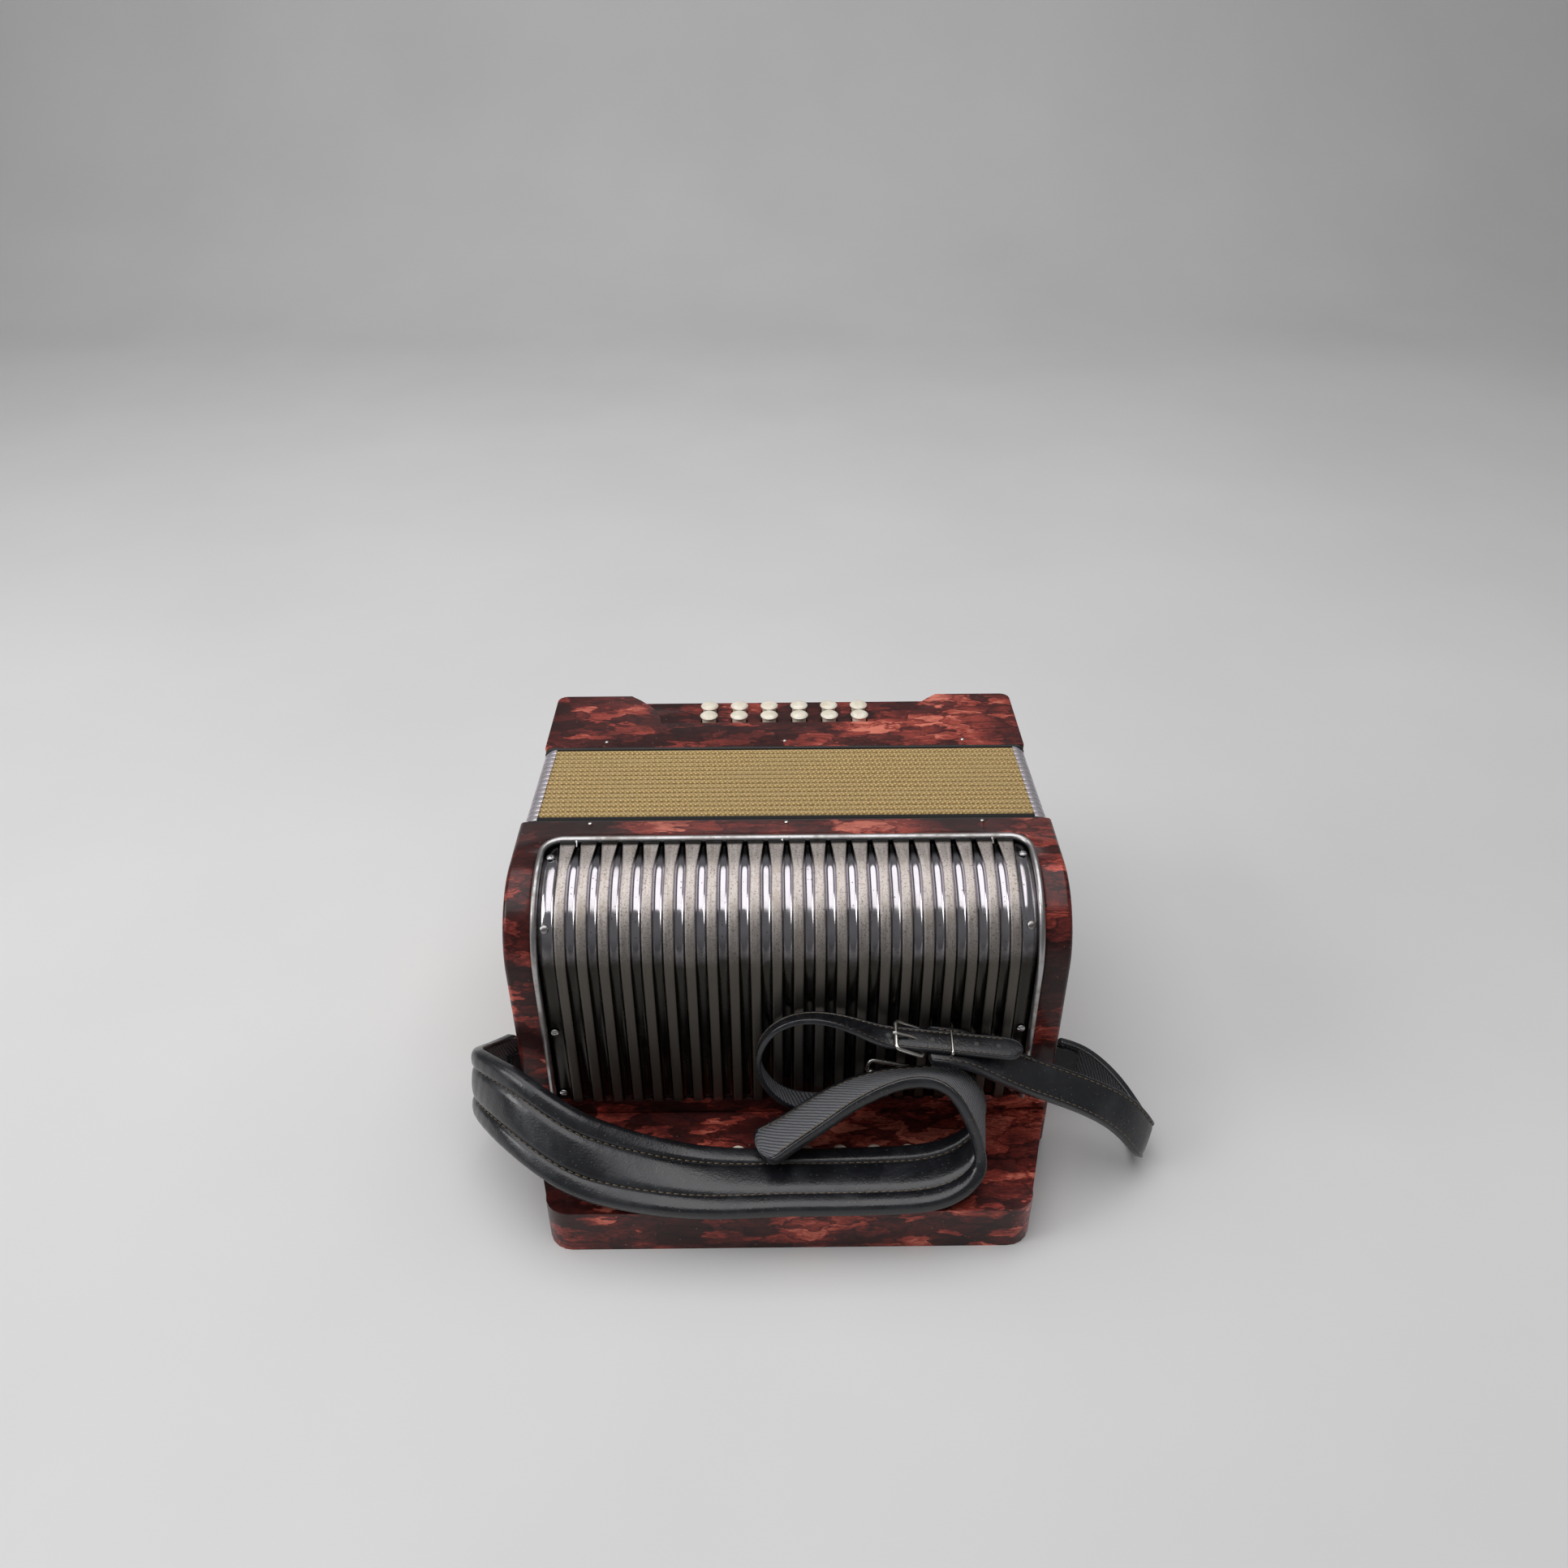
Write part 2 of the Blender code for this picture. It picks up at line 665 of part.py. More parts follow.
def key_mesh(row):
    """One key about its axle: local X across the lever, Y and Z as in the world."""
    button_y = END_Y - FIRST_ROW_REACH - row * ROW_PITCH - AXLE_Y
    shift = OUTER_LEVER_SHIFT if row == 2 else 0.0
    half = LEVER_HEIGHT / 2
    pallet_z = PALLET_HEIGHTS[row] - AXLE_Z
    pallet_back = SOUNDBOARD_Y - GAP - AXLE_Y
    pallet_front = pallet_back - PALLET_THICKNESS
    arm_back = pallet_back - ARM_CLEARANCE
    arm_front = arm_back - ARM_WIDTH
    outline = [
        (button_y - half, -half),
        (arm_back, -half),
        (arm_back, pallet_z - half),
        (pallet_front + GAP, pallet_z - half),
        (pallet_front + GAP, pallet_z + half),
        (arm_front, pallet_z + half),
        (arm_front, half),
        (button_y - half, half),
    ]
    side = LEVER_THICKNESS / 2
    key = slab("lever", [outline], shift - side, shift + side, "X")
    cap_top = BUTTON_TOP - AXLE_Z
    cap_bottom = cap_top - BUTTON_LENGTH
    stem = rod(
        "stem",
        STEM_RADIUS,
        (0, button_y, -STEM_RADIUS),
        (0, button_y, cap_bottom + half),
        sides=SMALL_SIDES,
    )
    edge = BUTTON_RADIUS / 5
    cap = rod("cap", BUTTON_RADIUS, (0, button_y, cap_bottom), (0, button_y, cap_top))
    bevel_top(cap, edge)
    pallet = box(
        "pallet",
        (shift / 2 - PALLET_WIDTH / 2, pallet_front, pallet_z - PALLET_HEIGHT / 2),
        (shift / 2 + PALLET_WIDTH / 2, pallet_back, pallet_z + PALLET_HEIGHT / 2),
    )
    union(key, stem, cap, pallet)
    if shift:
        foot_low = (-STEM_RADIUS / 2, button_y - half + GAP, -half + GAP)
        foot_high = (shift + side / 2, button_y + half - GAP, half - GAP)
        union(key, box("foot", foot_low, foot_high))
    bore_half = 2 * LEVER_THICKNESS
    bore = rod(
        "bore",
        AXLE_RADIUS + GAP,
        (shift - bore_half, 0, 0),
        (shift + bore_half, 0, 0),
        sides=SMALL_SIDES,
    )
    cut(key, bore)
    return key


def bevel_top(obj, width):
    """Rounds the upper rim of an upright round piece."""
    bm = bmesh.new()
    bm.from_mesh(obj.data)
    top = max(vertex.co.z for vertex in bm.verts)
    rim = [
        edge
        for edge in bm.edges
        if all(abs(vertex.co.z - top) < 1e-6 for vertex in edge.verts)
    ]
    bmesh.ops.bevel(bm, geom=rim, offset=width, segments=1, affect="EDGES")
    bm.to_mesh(obj.data)
    bm.free()


def make_keys(surface):
    """31 keys, three shared meshes, each with its origin on the axle."""
    models = [key_mesh(row) for row in range(len(ROW_SIZES))]
    for row, model in enumerate(models):
        finish(model, f"key_model_{row}", surface, smooth=True)
    for row, i, x, _ in key_places():
        key = bpy.data.objects.new(f"treble_key_r{row + 1}_{i + 1:02d}", models[row].data)
        key.location = (x, AXLE_Y, AXLE_Z)
        PARTS.objects.link(key)
    for model in models:
        bpy.data.objects.remove(model)


def make_treble_soundboard(surface):
    """The plate across the treble case, with a hole under each pallet."""
    plate = box(
        "plate",
        (-TREBLE_HALF_WIDTH + WALL + GAP, SOUNDBOARD_Y, WALL + GAP),
        (TREBLE_HALF_WIDTH - WALL - GAP, SOUNDBOARD_Y + SOUNDBOARD_THICKNESS, TREBLE_HEIGHT - WALL - GAP),
    )
    holes = []
    for row, _, x, _ in key_places():
        middle = x + (OUTER_LEVER_SHIFT / 2 if row == 2 else 0.0)
        z = PALLET_HEIGHTS[row]
        low = (middle - SOUND_HOLE_WIDTH / 2, SOUNDBOARD_Y - WALL, z - SOUND_HOLE_HEIGHT / 2)
        high = (
            middle + SOUND_HOLE_WIDTH / 2,
            SOUNDBOARD_Y + SOUNDBOARD_THICKNESS + WALL,
            z + SOUND_HOLE_HEIGHT / 2,
        )
        holes.append(box("hole", low, high))
    cut(plate, joined("sound_holes", holes))
    return finish(plate, "treble_soundboard", surface)


def make_treble_reed_block(surface):
    """Three long blocks on one base, behind the soundboard and inside the closed bellows."""
    base_y = SOUNDBOARD_Y + SOUNDBOARD_THICKNESS + GAP
    half = lever_span_half() + REED_BLOCK_MARGIN
    low_z = PALLET_HEIGHTS[0] - REED_BLOCK_HEIGHT / 2 - REED_BASE
    high_z = PALLET_HEIGHTS[-1] + REED_BLOCK_HEIGHT / 2 + REED_BASE
    block = box("base", (-half, base_y, low_z), (half, base_y + REED_BASE, high_z))
    ridges = []
    for z in PALLET_HEIGHTS:
        ridges.append(
            box(
                "ridge",
                (-half + REED_BASE, base_y + REED_BASE / 2, z - REED_BLOCK_HEIGHT / 2),
                (half - REED_BASE, base_y + REED_BLOCK_DEPTH, z + REED_BLOCK_HEIGHT / 2),
            )
        )
    union(block, *ridges)
    return finish(block, "treble_reed_block", surface)


def frame_ring(half_width, low, high, depth):
    """A flat rectangular ring, its wall measured inwards from the outline."""
    outer = rounded_rectangle(half_width, low, high, BELLOWS_CORNER / 2, 2)
    inner = rounded_rectangle(
        half_width - FRAME_WALL,
        low + FRAME_WALL,
        high - FRAME_WALL,
        BELLOWS_CORNER / 4,
        2,
    )
    return slab("frame_ring", [outer, inner], 0.0, depth, "Z")


def make_frame(name, joint_y, side, rim, mouth, surface):
    """A rim between case and bellows, and a tongue in the case's mouth, each given as (half width, top).

    Side is -1 towards the treble end.
    """
    rim_ring = frame_ring(rim[0], FLOOR_LIFT, rim[1], FRAME_RIM_DEPTH)
    tongue_depth = FRAME_TONGUE_DEPTH + FRAME_RIM_DEPTH
    tongue = frame_ring(mouth[0] - GAP, WALL + GAP, mouth[1] - GAP, tongue_depth)
    rim_y = joint_y - side * GAP
    tongue_y = joint_y + side * FRAME_TONGUE_DEPTH
    stand_up(rim_ring, max(rim_y, rim_y - side * FRAME_RIM_DEPTH))
    stand_up(tongue, max(tongue_y, tongue_y - side * tongue_depth))
    union(rim_ring, tongue)
    return finish(rim_ring, name, surface)


def stand_up(obj, y):
    """Turns a piece drawn flat so that its outline stands in the XZ plane, its depth running back from y."""
    turn = Matrix(((1, 0, 0, 0), (0, 0, -1, y), (0, 1, 0, 0), (0, 0, 0, 1)))
    obj.data.transform(turn)


def make_bellows(surface):
    """A folded tube from rim to rim: rings that are wide and narrow in turn, joined and given a skin."""
    start = TREBLE_JOINT_Y + GAP + FRAME_RIM_DEPTH + GAP
    end = BASS_START_Y - GAP - FRAME_RIM_DEPTH - GAP
    last = 2 * FOLD_COUNT
    bm = bmesh.new()
    previous = None
    for i in range(last + 1):
        y = start + (end - start) * i / last
        half = BODY_HALF_WIDTH - BASS_MARGIN * i / last
        dip = 0.0 if i % 2 else FOLD_DEPTH
        corner = BELLOWS_CORNER if i % 2 else BELLOWS_CORNER / 2
        points = rounded_rectangle(half - dip, FLOOR_LIFT + dip, BODY_HEIGHT - dip, corner, 2)
        ring = [bm.verts.new((x, y, z)) for x, z in points]
        if previous:
            for j in range(len(ring)):
                k = (j + 1) % len(ring)
                bm.faces.new((previous[j], previous[k], ring[k], ring[j]))
        previous = ring
    bmesh.ops.recalc_face_normals(bm, faces=bm.faces)
    tube = mesh_object("bellows", bm)
    skin = tube.modifiers.new("skin", "SOLIDIFY")
    skin.thickness = BELLOWS_SKIN
    skin.offset = -1.0
    return finish(tube, "bellows", surface)


def recess_outline():
    """The scoop's (x, y) outline: curved sides that open towards the bass end."""
    near_y = BASS_START_Y + RECESS_STRIP
    far_y = BASS_END_Y + WALL
    depth = BASS_END_Y - near_y
    spread = RECESS_FAR_HALF - RECESS_NEAR_HALF
    right = []
    for i in range(7):
        t = i / 6
        right.append((RECESS_NEAR_HALF + spread * t**2, near_y + depth * t))
    right.append((RECESS_FAR_HALF, far_y))
    left = [(-x, y) for x, y in reversed(right)]
    return right + left


def bass_button_places():
    """(row, column, x, y) of each bass button."""
    places = []
    for row in range(BASS_ROWS):
        y = BASS_START_Y + RECESS_STRIP + BASS_FIRST_ROW + row * BASS_ROW_PITCH
        for i in range(BASS_COLUMNS):
            places.append((row, i, (i - (BASS_COLUMNS - 1) / 2) * BASS_PITCH, y))
    return places


def make_bass_case(surface):
    """A shell open to the bellows, with the recess, its twelve holes and the air button's hole."""
    start = BASS_START_Y
    far_corner = BASS_CORNER
    right = [(BASS_HALF_WIDTH, start)]
    right += arc(
        (BASS_HALF_WIDTH - far_corner, BASS_END_Y - far_corner), far_corner, 0, 90, 4
    )
    outline = right + [(-x, y) for x, y in reversed(right)]
    case = slab("bass", [outline], 0.0, BASS_HEIGHT, "Z")
    inner_half = BASS_HALF_WIDTH - WALL
    inner_end = BASS_END_Y - WALL
    hollow = box(
        "hollow",
        (-inner_half, start - WALL, WALL),
        (inner_half, inner_end, RECESS_Z - WALL),
    )
    recess = slab("recess", [recess_outline()], RECESS_Z, BASS_HEIGHT + WALL, "Z")
    hole_radius = BASS_BUTTON_RADIUS + GAP
    holes = []
    for _, _, x, y in bass_button_places():
        holes.append(
            rod("hole", hole_radius, (x, y, RECESS_Z - 2 * WALL), (x, y, RECESS_Z + WALL))
        )
    air_hole = rod(
        "air_hole",
        AIR_RADIUS + GAP,
        (AIR_X, inner_end - WALL, AIR_Z),
        (AIR_X, BASS_END_Y + WALL, AIR_Z),
    )
    cut(case, hollow, recess, joined("holes", holes), air_hole)
    return finish(case, "bass_case", surface)


def turned(name, profile, sides):
    """A turned piece from a (radius, z) profile that starts and ends on the axis, upper end first."""
    bm = bmesh.new()
    corners = [bm.verts.new((radius, 0.0, z)) for radius, z in profile]
    for first, second in zip(corners, corners[1:]):
        bm.edges.new((first, second))
    obj = mesh_object(name, bm)
    screw = obj.modifiers.new("turn", "SCREW")
    screw.axis = "Z"
    screw.steps = sides
    screw.render_steps = sides
    screw.use_merge_vertices = True
    screw.merge_threshold = 1e-6
    screw.use_smooth_shade = False
    return obj


def button_profile(radius, cap_length, stem_radius, stem_length):
    """Cap, collar and stem, measured down from the cap's top. The collar keeps the cap in its hole."""
    rim = radius / 4
    collar_radius = radius + COLLAR_LIP
    collar_end = cap_length + COLLAR_LENGTH
    return [
        (0.0, 0.0),
        (radius - rim, -rim / 4),
        (radius, -rim),
        (radius, -cap_length),
        (collar_radius, -cap_length),
        (collar_radius, -collar_end),
        (stem_radius, -collar_end),
        (stem_radius, -collar_end - stem_length),
        (0.0, -collar_end - stem_length),
    ]


def make_bass_buttons(surface):
    """Twelve turned buttons, level with the case front, held by collars under the recess floor."""
    cap_length = RECESS_DEPTH + WALL + GAP
    profile = button_profile(BASS_BUTTON_RADIUS, cap_length, BASS_STEM_RADIUS, BASS_STEM_LENGTH)
    for row, i, x, y in bass_button_places():
        button = turned("button", profile, sides=CIRCLE_SIDES)
        button.location = (x, y, BASS_HEIGHT)
        finish(button, f"bass_button_r{row + 1}_{i + 1}", surface, smooth=True)


def make_air_button(surface):
    """A turned button that stands out of the bass end, with its collar and stem inside."""
    profile = button_profile(
        AIR_RADIUS, AIR_RISE + WALL + GAP, AIR_STEM_RADIUS, AIR_STEM_LENGTH
    )
    button = turned("air", profile, sides=FINE_SIDES)
    button.location = (AIR_X, BASS_END_Y + AIR_RISE, AIR_Z)
    button.rotation_euler = (math.radians(-90), 0.0, 0.0)
    return finish(button, "air_button", surface, smooth=True)


def make_bass_soundboard(surface):
    """The plate across the bass case with its reed block, reaching into the closed bellows."""
    plate_y = BASS_START_Y + BASS_SOUNDBOARD_INSET
    plate = box(
        "plate",
        (-BASS_HALF_WIDTH + WALL + GAP, plate_y, WALL + GAP),
        (BASS_HALF_WIDTH - WALL - GAP, plate_y + SOUNDBOARD_THICKNESS, RECESS_Z - WALL - GAP),
    )
    block = box(
        "block",
        (-BASS_REED_HALF, plate_y - BASS_REED_REACH, BASS_REED_BOTTOM),
        (BASS_REED_HALF, plate_y + SOUNDBOARD_THICKNESS / 2, BASS_REED_BOTTOM + BASS_REED_HEIGHT),
    )
    union(plate, block)
    return finish(plate, "bass_soundboard", surface)


def make_hand_strap(surface):
    """A leather band bowed away from the bass end, its two feet flat on it."""
    flat_y = BASS_END_Y + GAP + HAND_STRAP_THICKNESS / 2
    steps = 12
    inner_half = HAND_STRAP_HALF - HAND_STRAP_FOOT
    top_z = HAND_STRAP_Z + HAND_STRAP_WIDTH / 2
    route = [((-HAND_STRAP_HALF, flat_y, top_z), UPRIGHT, 1.0)]
    for i in range(steps + 1):
        t = i / steps
        x = inner_half * (2 * t - 1)
        rise = HAND_STRAP_BOW * math.sin(math.pi * t) ** 1.4
        route.append(((x, flat_y + rise, top_z), UPRIGHT, 1.0))
    route.append(((HAND_STRAP_HALF, flat_y, top_z), UPRIGHT, 1.0))
    strap = band("hand_strap", band_edges(route, HAND_STRAP_WIDTH, 1), HAND_STRAP_THICKNESS)
    return finish(strap, "bass_strap", surface)


def from_left(x, y, z):
    """A place measured from the left side face, the treble end and the button tops."""
    return (-TREBLE_HALF_WIDTH + x, END_Y + y, BUTTON_TOP + z)


def from_right(x, y, z):
    return (TREBLE_HALF_WIDTH + x, END_Y + y, BUTTON_TOP + z)


def from_middle(x, y, z):
    return (x, END_Y + y, BUTTON_TOP + z)


def left_strap_edges():
    """From the left lug, leaning on the fingerboard, flat over the buttons, then folded back over itself."""
    lying = STRAP_THICKNESS / 2 + GAP
    lug_x = -LUG_REACH - GAP - STRAP_THICKNESS / 2
    flat = (0.0, 1.0, 0.0)
    route = [(from_left(lug_x, LUG_Y - END_Y, LEFT_LUG_RISE), UPRIGHT, 1.0)]
    route += [(from_left(*place), lean, 1.0) for place, lean in LEFT_STRAP_CLIMB]
    route += [(from_middle(x, y, lying + lift), flat, 1.0) for x, y, lift in LEFT_STRAP_LYING]
    route += [(from_middle(*place), lean, share) for place, lean, share in LEFT_STRAP_FOLD]
    return band_edges(route, STRAP_WIDTH, 4)


def buckle_axes():
    """The belt's heading, its direction from near to far edge and its upward normal where the buckle lies."""
    heading = Vector(BUCKLE_HEADING).normalized()
    lean = Vector(BUCKLE_LEAN)
    across = (lean - heading * lean.dot(heading)).normalized()
    return heading, across, heading.cross(across)


def at_buckle(along, above, width):
    """The far edge of a band of a width that runs through the buckle."""
    heading, across, up = buckle_axes()
    return Vector(from_middle(*BUCKLE_PLACE)) + heading * along + up * above + across * width / 2


def right_strap_edges():
    """From the right lug, round the fingerboard's right end and up to the buckle."""
    under = -(BELT_THICKNESS / 2 + GAP + STRAP_END_THICKNESS / 2)
    lug_x = LUG_REACH + GAP + STRAP_END_THICKNESS / 2
    width = STRAP_END_WIDTH
    end = BUCKLE_LENGTH / 2 + 2 * FITTING_WIRE + GAP
    route = [(from_right(lug_x, LUG_Y - END_Y, RIGHT_LUG_RISE), UPRIGHT, 1.0)]
    route += [(from_right(*place), lean, 1.0) for place, lean in RIGHT_STRAP_CLIMB]
    for along, sag in (*RIGHT_STRAP_NEAR_BUCKLE, (end, 0.0)):
        route.append((at_buckle(along, under - sag, width), BUCKLE_LEAN, 1.0))
    return band_edges(route, width, 4)


def belt_edges():
    """From its tail over the right strap, through the buckle and round the loop that leans on the grille."""
    width = BELT_WIDTH
    through = (BELT_TAIL, BELT_TAIL / 2, 0.0, -BUCKLE_LENGTH)
    route = [(at_buckle(along, 0.0, width), BUCKLE_LEAN, 1.0) for along in through]
    route += [(from_middle(*place), lean, 1.0) for place, lean in BELT_LOOP]
    return band_edges(route, width, 4)


def make_straps(leather, metal):
    """The two shoulder straps, the belt, its buckle and the ring at the edge of the folded strap."""
    left = band("left", left_strap_edges(), STRAP_THICKNESS)
    finish(left, "left_shoulder_strap", leather)
    right = band("right", right_strap_edges(), STRAP_END_THICKNESS)
    finish(right, "right_shoulder_strap", leather)
    belt = band("belt", belt_edges(), BELT_THICKNESS)
    finish(belt, "strap_belt", leather)

    heading, across, up = buckle_axes()
    clear = BELT_THICKNESS / 2 + GAP + FITTING_WIRE
    tilted = (heading * BUCKLE_LENGTH / 2 - up * clear).normalized()
    inner_width = BELT_WIDTH + 2 * FITTING_WIRE + 4 * GAP
    ring_length = math.hypot(BUCKLE_LENGTH, 2 * clear)
    buckle = wire_ring(
        "buckle", at_buckle(0.0, 0.0, 0.0), tilted, across, ring_length, inner_width, FITTING_WIRE
    )
    finish(buckle, "strap_buckle", metal, smooth=True)

    run = Vector(RING_HEADING).normalized()
    down = run.cross(Vector((0.0, 1.0, 0.0)))
    centre = from_middle(*RING_PLACE)
    ring = wire_ring("ring", centre, down, run, RING_LENGTH, RING_WIDTH, FITTING_WIRE)
    finish(ring, "strap_ring", metal, smooth=True)


def make_materials():
    return {
        "pearloid": material("pearloid", (0.35, 0.05, 0.04), 0.15),
        "chrome": material("chrome", (0.62, 0.58, 0.54), 0.2, 1.0),
        "ivory": material("ivory", (0.83, 0.78, 0.66), 0.3),
        "wood": material("wood", (0.42, 0.27, 0.15), 0.6),
        "bellows": material("bellows", (0.45, 0.33, 0.14), 0.6),
        "frame": material("frame", (0.03, 0.03, 0.03), 0.5),
        "leather": material("leather", (0.02, 0.02, 0.025), 0.45),
    }


clear_scene()
PARTS = collection("button_accordion")
CUTTERS = collection("guides")
SURFACES = make_materials()
make_treble_case(SURFACES["pearloid"])
make_grille(SURFACES["chrome"])
make_fingerboard(SURFACES["pearloid"])
make_keys(SURFACES["ivory"])
make_treble_soundboard(SURFACES["wood"])
make_treble_reed_block(SURFACES["wood"])
make_frame(
    "treble_bellows_frame",
    TREBLE_JOINT_Y,
    -1,
    (BODY_HALF_WIDTH, BODY_HEIGHT),
    (TREBLE_HALF_WIDTH - WALL, TREBLE_HEIGHT - WALL),
    SURFACES["frame"],
)
make_bellows(SURFACES["bellows"])
make_frame(
    "bass_bellows_frame",
    BASS_START_Y,
    1,
    (BASS_HALF_WIDTH, BODY_HEIGHT),
    (BASS_HALF_WIDTH - WALL, RECESS_Z - WALL),
    SURFACES["frame"],
)
make_bass_case(SURFACES["pearloid"])
make_bass_buttons(SURFACES["ivory"])
make_air_button(SURFACES["ivory"])
make_bass_soundboard(SURFACES["wood"])
make_hand_strap(SURFACES["leather"])
make_straps(SURFACES["leather"], SURFACES["chrome"])
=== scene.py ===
import math

import bmesh
import bpy
from mathutils import Matrix, Vector


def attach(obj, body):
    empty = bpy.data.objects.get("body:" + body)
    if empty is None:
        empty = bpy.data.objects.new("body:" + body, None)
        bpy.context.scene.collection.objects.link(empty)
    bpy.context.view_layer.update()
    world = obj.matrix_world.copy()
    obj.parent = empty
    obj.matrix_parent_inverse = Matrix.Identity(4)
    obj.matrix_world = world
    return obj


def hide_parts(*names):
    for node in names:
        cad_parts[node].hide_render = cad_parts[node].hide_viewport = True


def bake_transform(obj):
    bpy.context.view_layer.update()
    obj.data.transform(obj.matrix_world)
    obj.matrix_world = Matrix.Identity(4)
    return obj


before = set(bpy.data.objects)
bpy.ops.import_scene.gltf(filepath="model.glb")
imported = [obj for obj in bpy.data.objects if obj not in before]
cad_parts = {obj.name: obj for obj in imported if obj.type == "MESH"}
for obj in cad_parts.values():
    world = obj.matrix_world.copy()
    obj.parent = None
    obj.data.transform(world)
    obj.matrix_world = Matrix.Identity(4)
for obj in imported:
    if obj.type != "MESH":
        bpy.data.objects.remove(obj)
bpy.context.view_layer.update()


# Camera: it stands in front of the treble end and looks down on the lying instrument, as the photograph does.
# A 36 mm sensor behind a 28.9 mm lens gives the same perspective.
camera = bpy.data.objects.new("camera", bpy.data.cameras.new("camera"))
camera.data.sensor_width = 36.0
camera.data.lens = 28.88
camera.matrix_world = (
    Matrix.Translation((-0.0056, -0.5541, 0.6126))
    @ Matrix.Rotation(math.radians(-0.42), 4, "Z")
    @ Matrix.Rotation(math.radians(90 - 34.04), 4, "X")
    @ Matrix.Rotation(math.radians(-0.24), 4, "Z")
)
bpy.context.scene.collection.objects.link(camera)
bpy.context.scene.camera = camera


# Studio: a pale floor that rises behind the instrument, under one wide soft light and a weak light on the left.
# The wide light is what the chrome shoulder and the glossy cases mirror.
class Look:
    """The node tree of a material, or of a group that materials share, while it is put together."""

    def __init__(self, tree):
        self.tree = tree

    def node(self, kind, inputs=None, **settings):
        """Adds a shader node. Inputs are numbers, colours or other nodes' outputs."""
        node = self.tree.nodes.new("ShaderNode" + kind)
        for name, value in settings.items():
            setattr(node, name, value)
        for name, value in (inputs or {}).items():
            if isinstance(value, bpy.types.NodeSocket):
                self.tree.links.new(value, node.inputs[name])
            else:
                node.inputs[name].default_value = value
        return node

    def piece_place(self):
        """The place on a piece, in metres."""
        return self.node("TexCoord").outputs["Object"]


class Finish(Look):
    """A material with its Principled shader, and constants set on the shader's own sockets."""

    def __init__(self, name, **sockets):
        self.material = bpy.data.materials.new(name)
        self.material.use_nodes = True
        super().__init__(self.material.node_tree)
        self.shader = self.tree.nodes["Principled BSDF"]
        for socket, value in sockets.items():
            self.shader.inputs[socket.replace("_", " ")].default_value = value

    def feed(self, socket, value):
        self.tree.links.new(value, self.shader.inputs[socket])


def look_of(*values):
    """The look that an output among the values belongs to."""
    return Look(next(v for v in values if isinstance(v, bpy.types.NodeSocket)).id_data)


def noise(place, scale, detail, output="Fac", **inputs):
    """A cloudy value at a place, or a cloudy colour."""
    inputs = {"Vector": place, "Scale": scale, "Detail": detail, **inputs}
    return look_of(place).node("TexNoise", inputs).outputs[output]


def ramp(factor, *stops):
    """A colour ramp from (position, colour) stops."""
    node = look_of(factor).node("ValToRGB", {"Fac": factor})
    elements = node.color_ramp.elements
    while len(elements) < len(stops):
        elements.new(0.5)
    for element, (position, colour) in zip(elements, stops):
        element.position = position
        element.color = (*colour, 1.0)
    return node.outputs["Color"]


def new_piece(name, bm, *materials, sharp=None, smooth=True):
    """A mesh object at the origin. Edges sharper than an angle in degrees stay sharp."""
    mesh = bpy.data.meshes.new(name)
    bm.to_mesh(mesh)
    bm.free()
    for material in materials:
        mesh.materials.append(material)
    if smooth:
        mesh.shade_smooth()
    if sharp:
        mesh.set_sharp_from_angle(angle=math.radians(sharp))
    piece = bpy.data.objects.new(name, mesh)
    bpy.context.scene.collection.objects.link(piece)
    return piece


def bevelled(bm, edges, width, segments):
    bmesh.ops.bevel(bm, geom=edges, offset=width, segments=segments, profile=0.5, affect="EDGES", material=-1)


def faced_out(bm):
    """Turns every face outward."""
    bmesh.ops.recalc_face_normals(bm, faces=bm.faces)


def strips_drawn(bm, edges, moves):
    """Carries a line of edges along, with one strip of faces for each move."""
    for move in moves:
        made = bmesh.ops.extrude_edge_only(bm, edges=edges)["geom"]
        fresh = {item for item in made if isinstance(item, bmesh.types.BMVert)}
        bmesh.ops.translate(bm, vec=move, verts=list(fresh))
        edges = [item for item in made if isinstance(item, bmesh.types.BMEdge) and set(item.verts) <= fresh]


look = Finish("studio_paint", Roughness=0.75)
mottle = noise(look.piece_place(), 3.0, 4.0)
look.feed("Base Color", ramp(mottle, (0.3, (0.60, 0.60, 0.60)), (0.7, (0.64, 0.64, 0.63))))

FLOOR_HALF = 6.0
BACKDROP_Y = 2.6
BACKDROP_HEIGHT = 1.3
BACKDROP_BEND = 0.8
bm = bmesh.new()
front = bm.edges.new([bm.verts.new((x, -FLOOR_HALF, 0.0)) for x in (-FLOOR_HALF, FLOOR_HALF)])
strips_drawn(bm, [front], ((0, FLOOR_HALF + BACKDROP_Y, 0), (0, 0, BACKDROP_HEIGHT)))
bevelled(bm, [e for e in bm.edges if len(e.link_faces) == 2], BACKDROP_BEND, 16)
faced_out(bm)
new_piece("studio_floor", bm, look.material)


def soft_light(name, place, aim, width, depth, power, colour=(1.0, 1.0, 1.0)):
    """A rectangular light at a place, turned to another."""
    light = bpy.data.lights.new(name, "AREA")
    light.shape = "RECTANGLE"
    light.size = width
    light.size_y = depth
    light.energy = power
    light.color = colour
    lamp = bpy.data.objects.new(name, light)
    lamp.location = place
    lamp.rotation_euler = (Vector(aim) - Vector(place)).to_track_quat("-Z", "Y").to_euler()
    bpy.context.scene.collection.objects.link(lamp)


